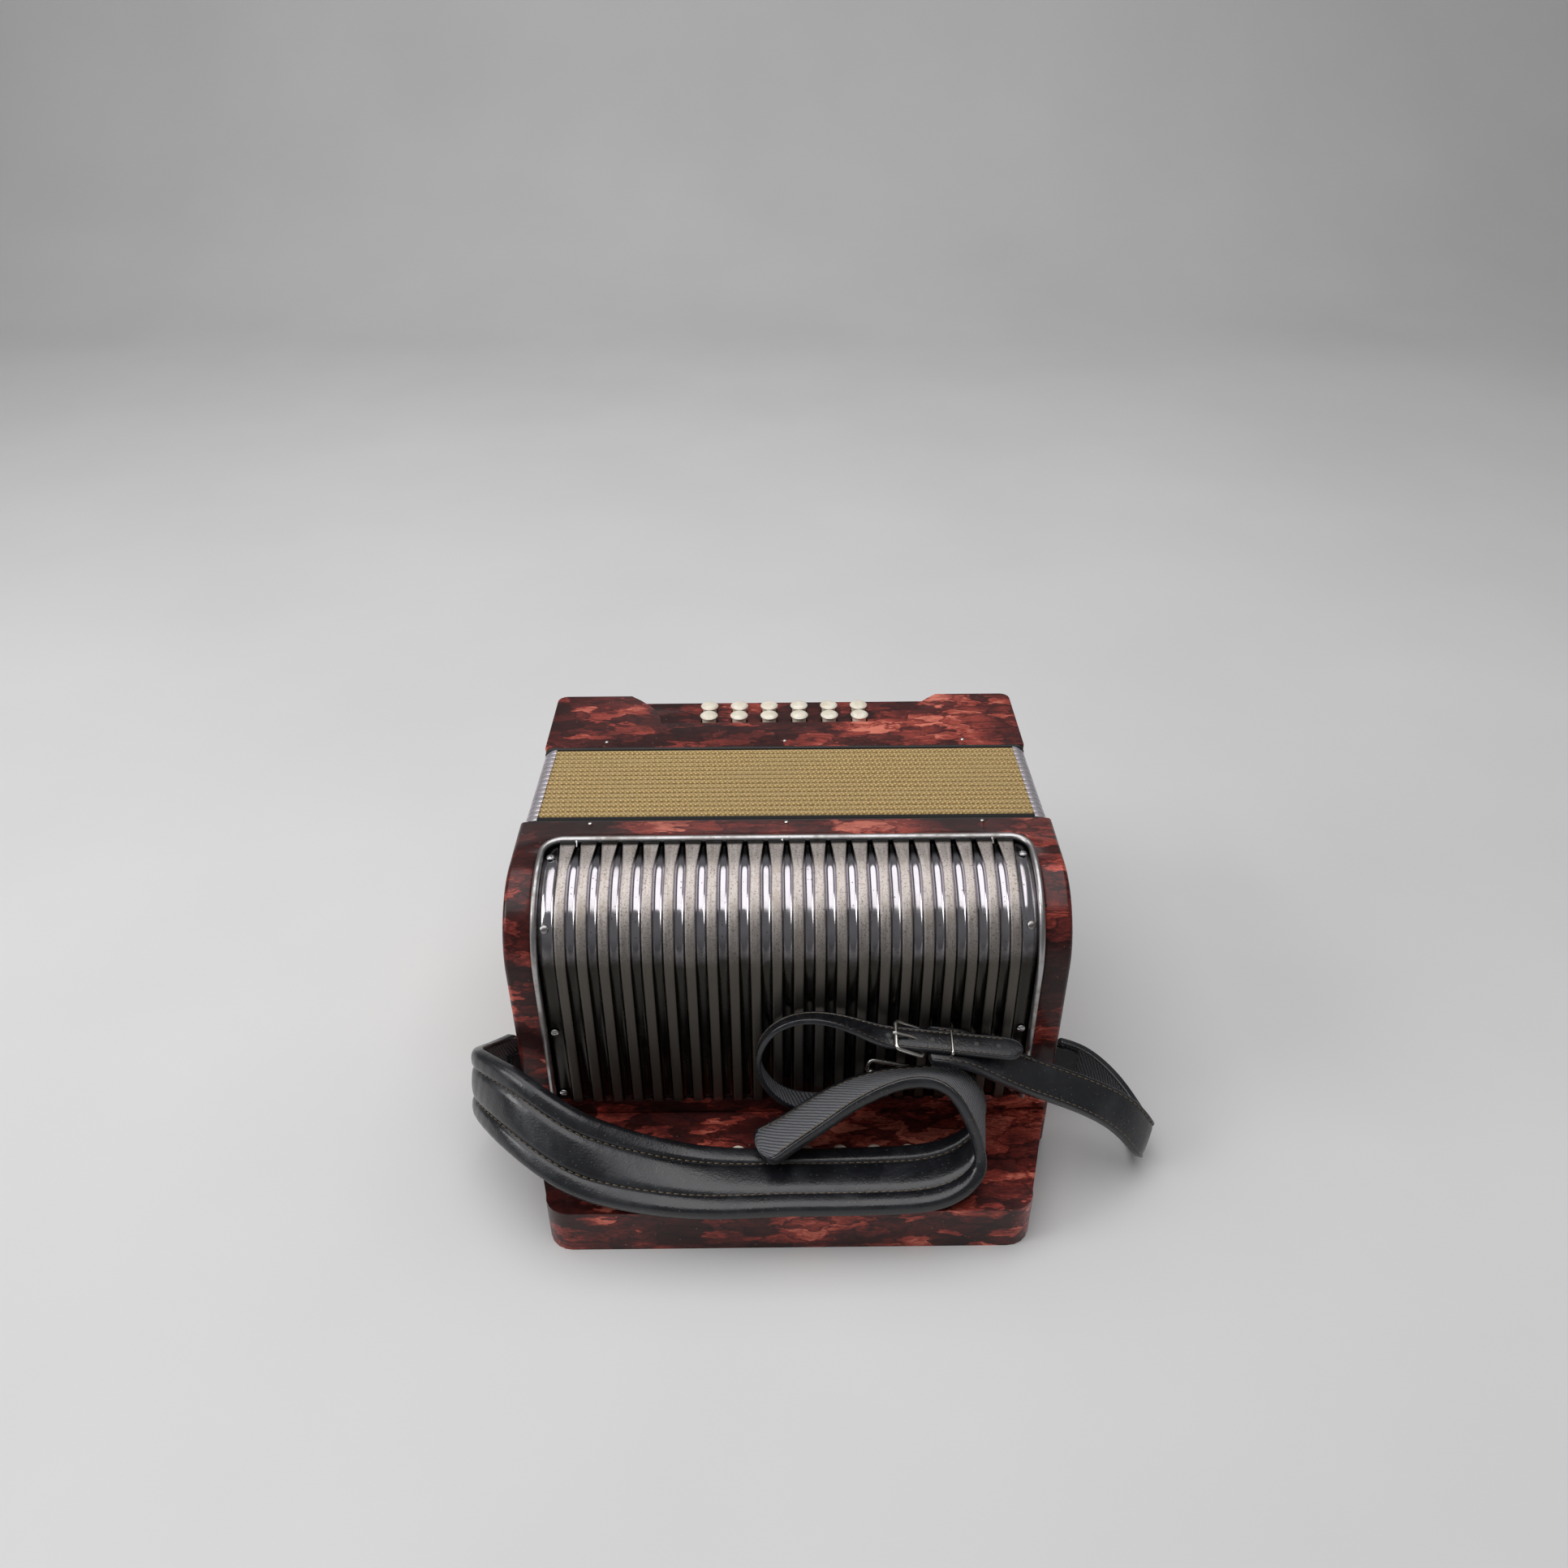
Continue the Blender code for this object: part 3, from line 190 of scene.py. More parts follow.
soft_light("overhead", (-0.15, 0.15, 2.0), (-0.05, 0.15, 0.0), 2.6, 2.3, 40.0, (1.0, 0.985, 1.0))
soft_light("left_fill", (-1.8, -0.5, 1.3), (0.0, 0.0, 0.1), 1.0, 1.0, 17.0)
world = bpy.data.worlds.new("studio_world")
world.use_nodes = True
sky = world.node_tree.nodes["Background"].inputs
sky["Color"].default_value = (0.55, 0.56, 0.58, 1.0)
sky["Strength"].default_value = 0.36
bpy.context.scene.world = world
bpy.context.scene.view_settings.view_transform = "Standard"


# Treble case: a hollow wooden box, open to the bellows, covered with glossy red pearloid sheet that is
# wrapped over its edges. Its front runs into its end in a round shoulder, and the grille covers a window there.
WALL = 0.005
TREBLE_HALF = 0.155
END_Y = -0.0415
TREBLE_MOUTH_Y = 0.0415
TREBLE_TOP = 0.185
SHOULDER = 0.043
WINDOW_HALF, WINDOW_LOW, WINDOW_BACK = 0.1294, 0.0545, 0.013
SLOT_HALF, SLOT_LOW, SLOT_HIGH = 0.1065, 0.012, 0.026
CASE_ROUNDING = 0.003
SAME_PLACE = 1e-6


def line_to(bm, vert, place):
    """Draws an edge from a vertex to a place and gives its far vertex."""
    far = bmesh.ops.extrude_vert_indiv(bm, verts=[vert])["verts"][0]
    far.co = place
    return far


def arc_to(bm, vert, centre, axis, angle, steps):
    """Draws an arc from a vertex about a centre and gives its far vertex."""
    made = bmesh.ops.spin(bm, geom=[vert], cent=centre, axis=axis, dvec=(0, 0, 0),
                          angle=angle, steps=steps, use_duplicate=False)
    return next(item for item in made["geom_last"] if isinstance(item, bmesh.types.BMVert))


def maths(operation, first, second):
    return look_of(first, second).node("Math", {0: first, 1: second}, operation=operation).outputs[0]


def plus(first, second):
    return maths("ADD", first, second)


def minus(first, second):
    return maths("SUBTRACT", first, second)


def times(first, second):
    return maths("MULTIPLY", first, second)


def moved(operation, place, by, socket=1):
    """A place, or a colour as one, after vector maths."""
    return look_of(place).node("VectorMath", {0: place, socket: by}, operation=operation).outputs[0]


def drawn_out(place, **inputs):
    """A place scaled, turned or shifted."""
    return look_of(place).node("Mapping", {"Vector": place, **inputs}).outputs[0]


def rise(value, low, high):
    """0 below low, 1 above high, and a smooth rise between."""
    inputs = {"Value": value, "From Min": low, "From Max": high}
    return look_of(value).node("MapRange", inputs, interpolation_type="SMOOTHSTEP").outputs["Result"]


def mixed(factor, first, second):
    """Two colours mixed by a factor. Each is an output or (red, green, blue)."""
    first, second = ((*c, 1.0) if isinstance(c, tuple) else c for c in (first, second))
    return look_of(factor).node("Mix", {0: factor, 6: first, 7: second}, data_type="RGBA").outputs[2]


def coated(look, colour, height, depth, dulled=None, by=0.0, roughness=0.0):
    """The material, given a colour, a height raised by a depth in metres, and a roughness that a mask adds to."""
    look.feed("Base Color", colour)
    if dulled:
        look.feed("Roughness", plus(times(dulled, by), roughness))
    bump = look.node("Bump", {"Height": height, "Distance": depth, "Strength": 1.0})
    look.feed("Normal", bump.outputs["Normal"])
    return look.material


def wear_group():
    """Smudges that dull a polish, and small specks of dust or pitting."""
    group = bpy.data.node_groups.new("handling_wear", "ShaderNodeTree")
    face = group.interface
    face.new_socket("Vector", in_out="INPUT", socket_type="NodeSocketVector")
    for label, value in (("Smudge Scale", 20.0), ("Speck Scale", 400.0), ("Speck Share", 0.2)):
        face.new_socket(label, in_out="INPUT", socket_type="NodeSocketFloat").default_value = value
    for label in ("Smudges", "Specks"):
        face.new_socket(label, in_out="OUTPUT", socket_type="NodeSocketFloat")
    given = group.nodes.new("NodeGroupInput").outputs
    results = group.nodes.new("NodeGroupOutput").inputs
    look = Look(group)
    cloud = noise(given["Vector"], given["Smudge Scale"], 5.0, Roughness=0.6, Distortion=0.6)
    group.links.new(rise(cloud, 0.42, 0.68), results["Smudges"])
    cells = look.node("TexVoronoi", {"Vector": given["Vector"], "Scale": given["Speck Scale"]}).outputs
    dot = maths("LESS_THAN", cells["Distance"], 0.28)
    chance = look.node("SeparateColor", {"Color": cells["Color"]}).outputs["Red"]
    chosen = maths("LESS_THAN", chance, given["Speck Share"])
    group.links.new(times(dot, chosen), results["Specks"])
    return group


handling_wear = wear_group()


def worn(place, smudge_scale, speck_scale, speck_share):
    """The smudges and specks at a place, from the shared group."""
    node = look_of(place).node("Group", node_tree=handling_wear)
    node.id_data.links.new(place, node.inputs["Vector"])
    given = {"Smudge Scale": smudge_scale, "Speck Scale": speck_scale, "Speck Share": speck_share}
    for label, value in given.items():
        node.inputs[label].default_value = value
    return node.outputs["Smudges"], node.outputs["Specks"]


def placed(piece, body, node=None):
    """Gives a piece its body, and hides the solid that it takes the place of."""
    if node:
        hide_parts(node)
    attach(piece, body)


look = Finish("red_pearloid", Coat_Weight=0.14, Coat_Roughness=0.07, Specular_IOR_Level=0.22)
place = look.piece_place()
stretched = drawn_out(place, Scale=(52.0, 125.0, 125.0), Location=(3.1, 0.4, 1.7), Rotation=(0.0, 0.12, 0.18))
bend = noise(stretched, 0.9, 3.0, "Color", Roughness=0.6)
pull = moved("SCALE", moved("SUBTRACT", bend, (0.5, 0.5, 0.5)), 2.0, "Scale")
swirl = moved("ADD", stretched, pull)
flakes = look.node("TexVoronoi", {"Vector": swirl, "Scale": 0.9, "Smoothness": 0.30}, feature="SMOOTH_F1")
flake_tone = look.node("SeparateColor", {"Color": flakes.outputs["Color"]}).outputs["Green"]
rim = look.node("TexVoronoi", {"Vector": swirl, "Scale": 0.9}, feature="DISTANCE_TO_EDGE").outputs["Distance"]
vein = minus(1.0, rise(rim, 0.0, 0.09))
cloud = noise(swirl, 0.8, 6.0, Roughness=0.62, Distortion=0.5)
fibre = noise(moved("MULTIPLY", swirl, (1.0, 4.0, 4.0)), 1.1, 5.0, Roughness=0.7)
patches = rise(noise(place, 17.0, 2.0), 0.38, 0.66)
body = plus(times(cloud, 0.44), times(flake_tone, 0.26))
body = minus(plus(body, times(fibre, 0.36)), times(vein, 0.10))
lit = plus(body, times(patches, 0.17))
marbling = ramp(lit, (0.38, (0.019, 0.0045, 0.0042)), (0.52, (0.044, 0.0088, 0.0077)),
                (0.62, (0.105, 0.0180, 0.0147)), (0.72, (0.36, 0.061, 0.043)), (0.83, (0.84, 0.25, 0.17)))
look.feed("Metallic", times(rise(lit, 0.56, 0.78), 0.45))
smudges, specks = worn(place, 24.0, 520.0, 0.02)
pearloid = coated(look, mixed(times(specks, 0.18), marbling, (0.5, 0.36, 0.32)),
                  plus(cloud, times(smudges, 0.3)), 0.00006, smudges, 0.12, 0.28)

bm = bmesh.new()
here = bm.verts.new((-TREBLE_HALF, TREBLE_MOUTH_Y, 0.0))
for height in (0.0, SLOT_LOW, SLOT_HIGH, WINDOW_LOW, TREBLE_TOP - SHOULDER):
    here = line_to(bm, here, (-TREBLE_HALF, END_Y, height))
shoulder_centre = (-TREBLE_HALF, END_Y + SHOULDER, TREBLE_TOP - SHOULDER)
here = arc_to(bm, here, shoulder_centre, (-1, 0, 0), math.pi / 2, 28)
for y in (WINDOW_BACK, TREBLE_MOUTH_Y):
    here = line_to(bm, here, (-TREBLE_HALF, y, TREBLE_TOP))
bmesh.ops.remove_doubles(bm, verts=bm.verts, dist=SAME_PLACE)
stops = (-TREBLE_HALF, -WINDOW_HALF, -SLOT_HALF, SLOT_HALF, WINDOW_HALF, TREBLE_HALF)
strips_drawn(bm, bm.edges[:], [(b - a, 0, 0) for a, b in zip(stops, stops[1:])])


def in_case_opening(middle):
    """True inside the grille's window and the levers' slot."""
    in_window = abs(middle.x) < WINDOW_HALF and middle.z > WINDOW_LOW and middle.y < WINDOW_BACK
    in_slot = abs(middle.x) < SLOT_HALF and SLOT_LOW < middle.z < SLOT_HIGH and middle.y < 0
    return in_window or in_slot


openings = [f for f in bm.faces if in_case_opening(f.calc_center_median())]
bmesh.ops.delete(bm, geom=openings, context="FACES")
for x in (-TREBLE_HALF, TREBLE_HALF):
    on_side = [v for v in bm.verts if abs(v.co.x - x) < SAME_PLACE]
    bm.edges.new([v for v in on_side if abs(v.co.y - TREBLE_MOUTH_Y) < SAME_PLACE])
    outline = [e for e in bm.edges if all(abs(v.co.x - x) < SAME_PLACE for v in e.verts)]
    bmesh.ops.contextual_create(bm, geom=outline)
bevelled(bm, [e for e in bm.edges if len(e.link_faces) == 2 and e.calc_face_angle() > 1.2], CASE_ROUNDING, 4)
faced_out(bm)
case_shell = new_piece("treble_case_shell", bm, pearloid, sharp=40)
case_shell.modifiers.new("flat_faces", "WEIGHTED_NORMAL").keep_sharp = True
walls = case_shell.modifiers.new("walls", "SOLIDIFY")
walls.thickness = WALL
walls.offset = -1.0
walls.use_even_offset = True
placed(case_shell, "treble_section", "treble_case")


# Strap lugs and key axle: two steel ears with a pin between them are screwed to each side of the treble case,
# and a steel rod across the case carries all the levers.
look = Finish("turned_steel", Metallic=1.0)
smudges, specks = worn(look.piece_place(), 60.0, 900.0, 0.15)
steel = coated(look, ramp(smudges, (0.0, (0.62, 0.60, 0.57)), (1.0, (0.42, 0.39, 0.35))),
               specks, 0.00004, smudges, 0.2, 0.18)


def bar(bm, start, end, radius, sides=16, end_radius=None):
    """A round bar between two places, drawn into the mesh."""
    start, end = Vector(start), Vector(end)
    run = end - start
    made = bmesh.ops.create_cone(bm, cap_ends=True, segments=sides, radius1=radius,
                                 radius2=end_radius or radius, depth=run.length)["verts"]
    turn = run.to_track_quat("Z", "X").to_matrix().to_4x4()
    bmesh.ops.transform(bm, matrix=Matrix.Translation(start + run / 2) @ turn, verts=made)


def block(bm, low, high, bevel, segments=2):
    """A box between two corners with rounded edges, drawn into the mesh."""
    low, high = Vector(low), Vector(high)
    made = bmesh.ops.create_cube(bm, size=1.0)["verts"]
    bmesh.ops.scale(bm, vec=high - low, verts=made)
    bmesh.ops.translate(bm, vec=(high + low) / 2, verts=made)
    bevelled(bm, list({e for v in made for e in v.link_edges}), bevel, segments)


def screw_head(bm, place, normal, radius, slot_turn=0.4):
    """A round-headed screw, drawn into the mesh: a flattened dome with a groove across it."""
    base = bmesh.new()
    bmesh.ops.create_uvsphere(base, u_segments=20, v_segments=10, radius=radius)

    def cut(where, facing, **what):
        parts = base.verts[:] + base.edges[:] + base.faces[:]
        bmesh.ops.bisect_plane(base, geom=parts, plane_co=where, plane_no=facing, **what)

    cut((0, 0, 0), (0, 0, -1), clear_outer=True)
    bmesh.ops.scale(base, vec=(1, 1, 0.45), verts=base.verts)
    for side in (-1, 1):
        cut((0, side * radius * 0.13, 0), (0, side, 0))
    groove = [v for v in base.verts if abs(v.co.y) < radius * 0.12]
    bmesh.ops.translate(base, vec=(0, 0, -radius * 0.22), verts=groove)
    bmesh.ops.rotate(base, cent=(0, 0, 0), matrix=Matrix.Rotation(slot_turn, 3, "Z"), verts=base.verts)
    turn = Vector(normal).normalized().to_track_quat("Z", "X").to_matrix().to_4x4()
    bmesh.ops.transform(base, matrix=Matrix.Translation(place) @ turn, verts=base.verts)
    spare = bpy.data.meshes.new("spare")
    base.to_mesh(spare)
    base.free()
    bm.from_mesh(spare)
    bpy.data.meshes.remove(spare)


LUG_Y, LUG_Z, LUG_REACH, LUG_HALF = 0.005, 0.030, 0.010, 0.015
PLATE_HALF, PLATE_HALF_HEIGHT, PLATE = 0.0075, 0.022, 0.0012
EAR_HALF, EAR_THICK = 0.004, 0.004
LUG_PIN_REACH, LUG_PIN_RADIUS, LUG_SCREW_RADIUS = 0.006, 0.002, 0.0024
AXLE_Y, AXLE_Z, AXLE_RADIUS = END_Y + 0.0115, 0.020, 0.0014
bm = bmesh.new()
for side in (-1, 1):
    wall_x = side * TREBLE_HALF

    def beside_wall(reach, half_y, middle_z, half_z, bevel):
        """A block on the case's side wall."""
        near, far = sorted((wall_x, wall_x + side * reach))
        block(bm, (near, LUG_Y - half_y, middle_z - half_z), (far, LUG_Y + half_y, middle_z + half_z), bevel)

    beside_wall(PLATE, PLATE_HALF, LUG_Z, PLATE_HALF_HEIGHT, 0.0005)
    for end in (-1, 1):
        beside_wall(LUG_REACH, EAR_HALF, LUG_Z + end * (LUG_HALF - EAR_THICK / 2), EAR_THICK / 2, 0.0007)
        screw_place = (wall_x + side * (PLATE - 0.0001), LUG_Y, LUG_Z + end * 0.0185)
        screw_head(bm, screw_place, (side, 0, 0), LUG_SCREW_RADIUS)
    pin_x, pin_half = wall_x + side * LUG_PIN_REACH, LUG_HALF - 0.001
    bar(bm, (pin_x, LUG_Y, LUG_Z - pin_half), (pin_x, LUG_Y, LUG_Z + pin_half), LUG_PIN_RADIUS)
axle_half = TREBLE_HALF - WALL / 2
bar(bm, (-axle_half, AXLE_Y, AXLE_Z), (axle_half, AXLE_Y, AXLE_Z), AXLE_RADIUS, 12)
lugs = new_piece("strap_lugs_and_axle", bm, steel, sharp=35)
placed(lugs, "treble_section", "treble_case")


# Grille: one pressed sheet with 22 flat ribs and a polished hollow between each two, bent over the shoulder.
# The rib tops are brushed and dull and widen towards the upper bar; painted shade darkens the sheet towards its
# foot.
RIBS = 22
RIB_PITCH = 0.01174
RIB_HALF = 0.0027
RIB_FLARE, FLARE_RUN = 0.0021, 0.026
SHEET_LIFT = 0.0003
SHEET = 0.0006
CREST = 0.0032
HOLLOW = 0.0023
GRILLE_FOOT = 0.0445
GRILLE_BACK_Y = 0.0178
GRILLE_HALF = 0.13944
BEAD = 0.004
STRAIGHT_RUN = TREBLE_TOP - SHOULDER - GRILLE_FOOT
BEND_RUN = SHOULDER * math.pi / 2
GRILLE_RUN = STRAIGHT_RUN + BEND_RUN + GRILLE_BACK_Y - END_Y - SHOULDER


def painted(look, attribute):
    """A value that a piece's own points carry."""
    return look.node("Attribute", attribute_name=attribute).outputs["Fac"]


look = Finish("grille_chrome", Metallic=1.0)
place = look.piece_place()
axes = look.node("SeparateXYZ", {"Vector": place}).outputs
crest = painted(look, "rib_top")
brushed = noise(drawn_out(place, Scale=(900.0, 60.0, 60.0)), 1.0, 4.0)
blotch = noise(place, 85.0, 5.0, Roughness=0.7)
pitting = noise(place, 1100.0, 3.0, Roughness=0.7)
smudges, specks = worn(place, 45.0, 620.0, 0.10)
# Painted shade: rib tops and hollows alike are painted darker towards the sheet's foot, with a blotchy edge, and
# the same mask roughens the hollows there.
uneven_height = plus(axes["Z"], times(blotch, 0.014))
painted_shade_low = rise(minus(0.176, uneven_height), 0.0, 0.022)
dull = ramp(brushed, (0.25, (0.35, 0.31, 0.283)), (0.75, (0.51, 0.467, 0.437)))
dull = mixed(times(rise(pitting, 0.50, 0.66), 0.7), dull, (0.10, 0.082, 0.068))
dull = mixed(times(rise(blotch, 0.52, 0.66), 0.6), dull, (0.33, 0.283, 0.238))
dull = mixed(painted_shade_low, dull, (0.115, 0.105, 0.092))
polish = mixed(times(smudges, 0.3), (0.43, 0.41, 0.435), (0.29, 0.265, 0.24))
# Painted shade: the hollows are painted near black over the flat top, back from the shoulder, for the dark slots
# there.
polish = mixed(rise(axes["Y"], 0.0015, 0.0085), polish, (0.022, 0.020, 0.020))
polish = mixed(painted_shade_low, polish, (0.035, 0.032, 0.028))
colour = mixed(crest, polish, dull)
# Painted shadow: the whole sheet is painted near black along the strip under the upper bar, for the shadow gap
# below the bead.
colour = mixed(rise(axes["Y"], 0.0122, 0.0150), colour, (0.014, 0.013, 0.012))
colour = mixed(times(specks, 0.55), colour, (0.10, 0.055, 0.03))
gloss = plus(plus(times(smudges, 0.10), 0.11), times(painted_shade_low, 0.10))
dullness = plus(times(brushed, 0.16), 0.40)
look.feed("Roughness", plus(times(crest, minus(dullness, gloss)), gloss))
chrome = coated(look, colour, plus(times(brushed, crest), times(specks, -1.0)), 0.00005)


def over_shoulder(run, lift):
    """A place (y, z) over the case's end, shoulder or front: a run up from the grille's foot, lifted off it."""
    if run < STRAIGHT_RUN:
        return END_Y - lift, GRILLE_FOOT + run
    if run < STRAIGHT_RUN + BEND_RUN:
        angle = (run - STRAIGHT_RUN) / SHOULDER
        reach = SHOULDER + lift
        return END_Y + SHOULDER - reach * math.cos(angle), TREBLE_TOP - SHOULDER + reach * math.sin(angle)
    return END_Y + SHOULDER + run - STRAIGHT_RUN - BEND_RUN, TREBLE_TOP + lift


# Columns across half a pitch: the share of the rib's half width, the share of the hollow's half width beyond it,
# and the depth below the crest as a share of the hollow's depth
across_half = ((0.0, 0.0, 0.0), (0.55, 0.0, 0.0), (0.9, 0.0, 0.01), (1.0, 0.0, 0.10), (1.0, 0.07, 0.30),
               (1.0, 0.22, 0.62), (1.0, 0.42, 0.85), (1.0, 0.66, 0.97), (1.0, 1.0, 1.0))
columns = []
for rib in range(RIBS):
    middle = (rib - (RIBS - 1) / 2) * RIB_PITCH
    columns += [(middle, -1, *share) for share in across_half[:0:-1]]
    columns += [(middle, 1, *share) for share in across_half[:-1]]
columns.append(((RIBS - 1) / 2 * RIB_PITCH, 1, *across_half[-1]))
last_column = len(columns) + 1
bm = bmesh.new()
bmesh.ops.create_grid(bm, x_segments=last_column, y_segments=60, size=1.0)
rib_top = bm.verts.layers.float.new("rib_top")
for vert in bm.verts:
    column = round((vert.co.x + 1) / 2 * last_column)
    run = (vert.co.y + 1) / 2 * GRILLE_RUN
    flange = column in (0, last_column)
    middle, side, rib_share, hollow_share, depth_share = columns[min(max(column - 1, 0), len(columns) - 1)]
    half = RIB_HALF + RIB_FLARE * max(0.0, 1 - (GRILLE_RUN - run) / FLARE_RUN) ** 1.3
    x = middle + side * (half * rib_share + (RIB_PITCH / 2 - half) * hollow_share)
    if flange:
        x = math.copysign(GRILLE_HALF - BEAD / 2, middle)
    vert[rib_top] = 0.0 if flange else max(0.0, 1 - depth_share * 5)
    vert.co = (x, *over_shoulder(run, SHEET_LIFT + CREST - HOLLOW * depth_share))
faced_out(bm)
if sum(f.normal.z - f.normal.y for f in bm.faces) < 0:
    bmesh.ops.reverse_faces(bm, faces=bm.faces)
grille_sheet = new_piece("grille_sheet", bm, chrome)
thickness = grille_sheet.modifiers.new("sheet", "SOLIDIFY")
thickness.thickness = SHEET
thickness.offset = -1.0
placed(grille_sheet, "treble_section", "treble_grille")


# Grille frame: a half-round nickel-plated bead along both sides, turned in round corners into the thicker upper
# bar. Small pins hold it along the bar, and round-headed screws hold its flanges.
def nickel(name, wear, clean, dull, pit, roughness, depth, pitted=True):
    """Nickel plate that smudges dull and specks discolour, raised by its pits or by its smudges."""
    look = Finish(name, Metallic=1.0)
    smudges, specks = worn(look.piece_place(), *wear)
    colour = mixed(times(specks, 0.5), mixed(smudges, clean, dull), pit)
    return coated(look, colour, times(specks, -1.0) if pitted else smudges, depth, smudges, 0.16, roughness)


def sweep(bm, rings, closed=False, capped=True):
    """A skin over rings of places. The first ring is drawn and each next one is extruded from the last."""
    count = len(rings[0])
    ring = bmesh.ops.create_circle(bm, cap_ends=False, segments=count, radius=1.0)["verts"]
    for vert, spot in zip(ring, rings[0]):
        vert.co = spot
    skins = [ring]

    def edges_round(ring):
        return [bm.edges.get((ring[i], ring[(i + 1) % count])) for i in range(count)]

    for spots in rings[1:]:
        made = bmesh.ops.extrude_edge_only(bm, edges=edges_round(ring))["geom"]
        fresh = {v for v in made if isinstance(v, bmesh.types.BMVert)}
        ring = [next(e.other_vert(v) for e in v.link_edges if e.other_vert(v) in fresh) for v in ring]
        for vert, spot in zip(ring, spots):
            vert.co = spot
        skins.append(ring)
    ends = [edges_round(skins[0]), edges_round(skins[-1])]
    if closed:
        bmesh.ops.bridge_loops(bm, edges=ends[0] + ends[1])
    elif capped:
        for end in ends:
            bmesh.ops.contextual_create(bm, geom=end)
    return skins


def tube_rings(line, radius, sides, first_up, closed=False):
    """Rings of a round tube along a line of places; radius is a number or one number for each place."""
    rings = []
    last = len(line) - 1
    up = first_up
    for i, spot in enumerate(line):
        before = line[i - 1] if i or closed else line[0]
        after = line[(i + 1) % len(line)] if i < last or closed else line[last]
        along = (after - before).normalized()
        up = (up - along * up.dot(along)).normalized()
        out = along.cross(up)
        size = radius[i] if isinstance(radius, list) else radius
        rings.append([spot + (out * math.cos(a) + up * math.sin(a)) * size
                      for a in (2 * math.pi * k / sides for k in range(sides))])
    return rings


bead_metal = nickel("bead_nickel", (55.0, 800.0, 0.12), (0.42, 0.41, 0.41), (0.25, 0.235, 0.22),
                    (0.12, 0.08, 0.05), 0.30, 0.00004)
BEAD_X = GRILLE_HALF - BEAD / 2
BAR_Y = 0.0200
BEAD_CORNER = 0.011
BEAD_LIFT, BAR_LIFT = 0.0021, 0.0004
BEAD_RADIUS, BAR_SWELL = 0.0019, 0.0005
SIDE_STEPS, CORNER_STEPS = 33, 8
side_run = GRILLE_RUN + BAR_Y - GRILLE_BACK_Y - BEAD_CORNER
side_places = [over_shoulder(side_run * i / SIDE_STEPS, BEAD_LIFT) for i in range(SIDE_STEPS + 1)]
right_half = [Vector((BEAD_X, y, z)) for y, z in side_places]
radii = [BEAD_RADIUS] * len(right_half)
for t in (i / CORNER_STEPS for i in range(1, CORNER_STEPS + 1)):
    angle = math.pi / 2 * t
    inward, back = (BEAD_CORNER * (1 - share) for share in (math.cos(angle), math.sin(angle)))
    right_half.append(Vector((BEAD_X - inward, BAR_Y - back, TREBLE_TOP + BEAD_LIFT + BAR_LIFT * t)))
    radii.append(BEAD_RADIUS + BAR_SWELL * t)
bead_line = right_half + [Vector((-v.x, v.y, v.z)) for v in reversed(right_half)]
bm = bmesh.new()
sweep(bm, tube_rings(bead_line, radii + radii[::-1], 16, Vector((1.0, 0.0, 0.0))))
for x in (-0.1187, -0.0025, 0.1164):
    bar(bm, (x, BAR_Y - 0.0052, TREBLE_TOP + 0.0012), (x, BAR_Y - 0.0018, TREBLE_TOP + 0.0034), 0.0011, 12, 0.0009)
for side in (-1, 1):
    flange_x = side * (RIBS * RIB_PITCH / 2 + 0.0026)
    for run in (0.006, 0.055, STRAIGHT_RUN + 0.027, STRAIGHT_RUN + BEND_RUN + 0.0035):
        seat, above = (Vector((flange_x, *over_shoulder(run, lift))) for lift in (0.0018, 0.0028))
        screw_head(bm, seat, above - seat, 0.0024, slot_turn=1.1 + 7 * run)
faced_out(bm)
placed(new_piece("grille_bead", bm, bead_metal, sharp=50), "treble_section", "treble_grille")


# Grille cloth: a thin black woven cloth glued inside the case behind the window. It keeps dust out, hides the
# levers from the front and lets the sound through.
look = Finish("grille_cloth", Roughness=0.9)
threads = look.node("TexChecker", {"Vector": look.piece_place(), "Scale": 1400.0}).outputs["Fac"]
blacks = ramp(threads, (0.0, (0.004, 0.004, 0.004)), (1.0, (0.012, 0.011, 0.010)))
cloth_black = coated(look, blacks, threads, 0.0002)
CLOTH_START, CLOTH_SHORT = 0.006, 0.020
bm = bmesh.new()
bmesh.ops.create_grid(bm, x_segments=2, y_segments=30, size=1.0)
for vert in bm.verts:
    run = (vert.co.y + 1) / 2 * (GRILLE_RUN - CLOTH_SHORT) + CLOTH_START
    vert.co = (vert.co.x * WINDOW_HALF, *over_shoulder(run, -0.0006))
window_cloth = new_piece("grille_cloth", bm, cloth_black, smooth=False)
window_cloth.modifiers.new("cloth", "SOLIDIFY").thickness = 0.0005
placed(window_cloth, "treble_section")


# Fingerboard: a hollow wooden block screwed to the foot of the treble end and covered in the same pearloid,
# with a hole for each of the 31 buttons.
def rounded_copy(node, name, body, material, width, angle, segments=3):
    """A merged copy of a solid in its place, with its edges sharper than an angle rounded off."""
    bm = bmesh.new()
    bm.from_mesh(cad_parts[node].data)
    bmesh.ops.remove_doubles(bm, verts=bm.verts, dist=SAME_PLACE)
    bmesh.ops.dissolve_limit(bm, angle_limit=math.radians(0.6), verts=bm.verts, edges=bm.edges)
    faced_out(bm)
    copy = new_piece(name, bm, material, sharp=angle)
    edges = copy.modifiers.new("edges", "BEVEL")
    edges.width = width
    edges.segments = segments
    edges.limit_method = "ANGLE"
    edges.angle_limit = math.radians(angle)
    edges.harden_normals = True
    placed(copy, body, node)


rounded_copy("fingerboard", "fingerboard_block", "treble_section", pearloid, width=0.0008, angle=40)


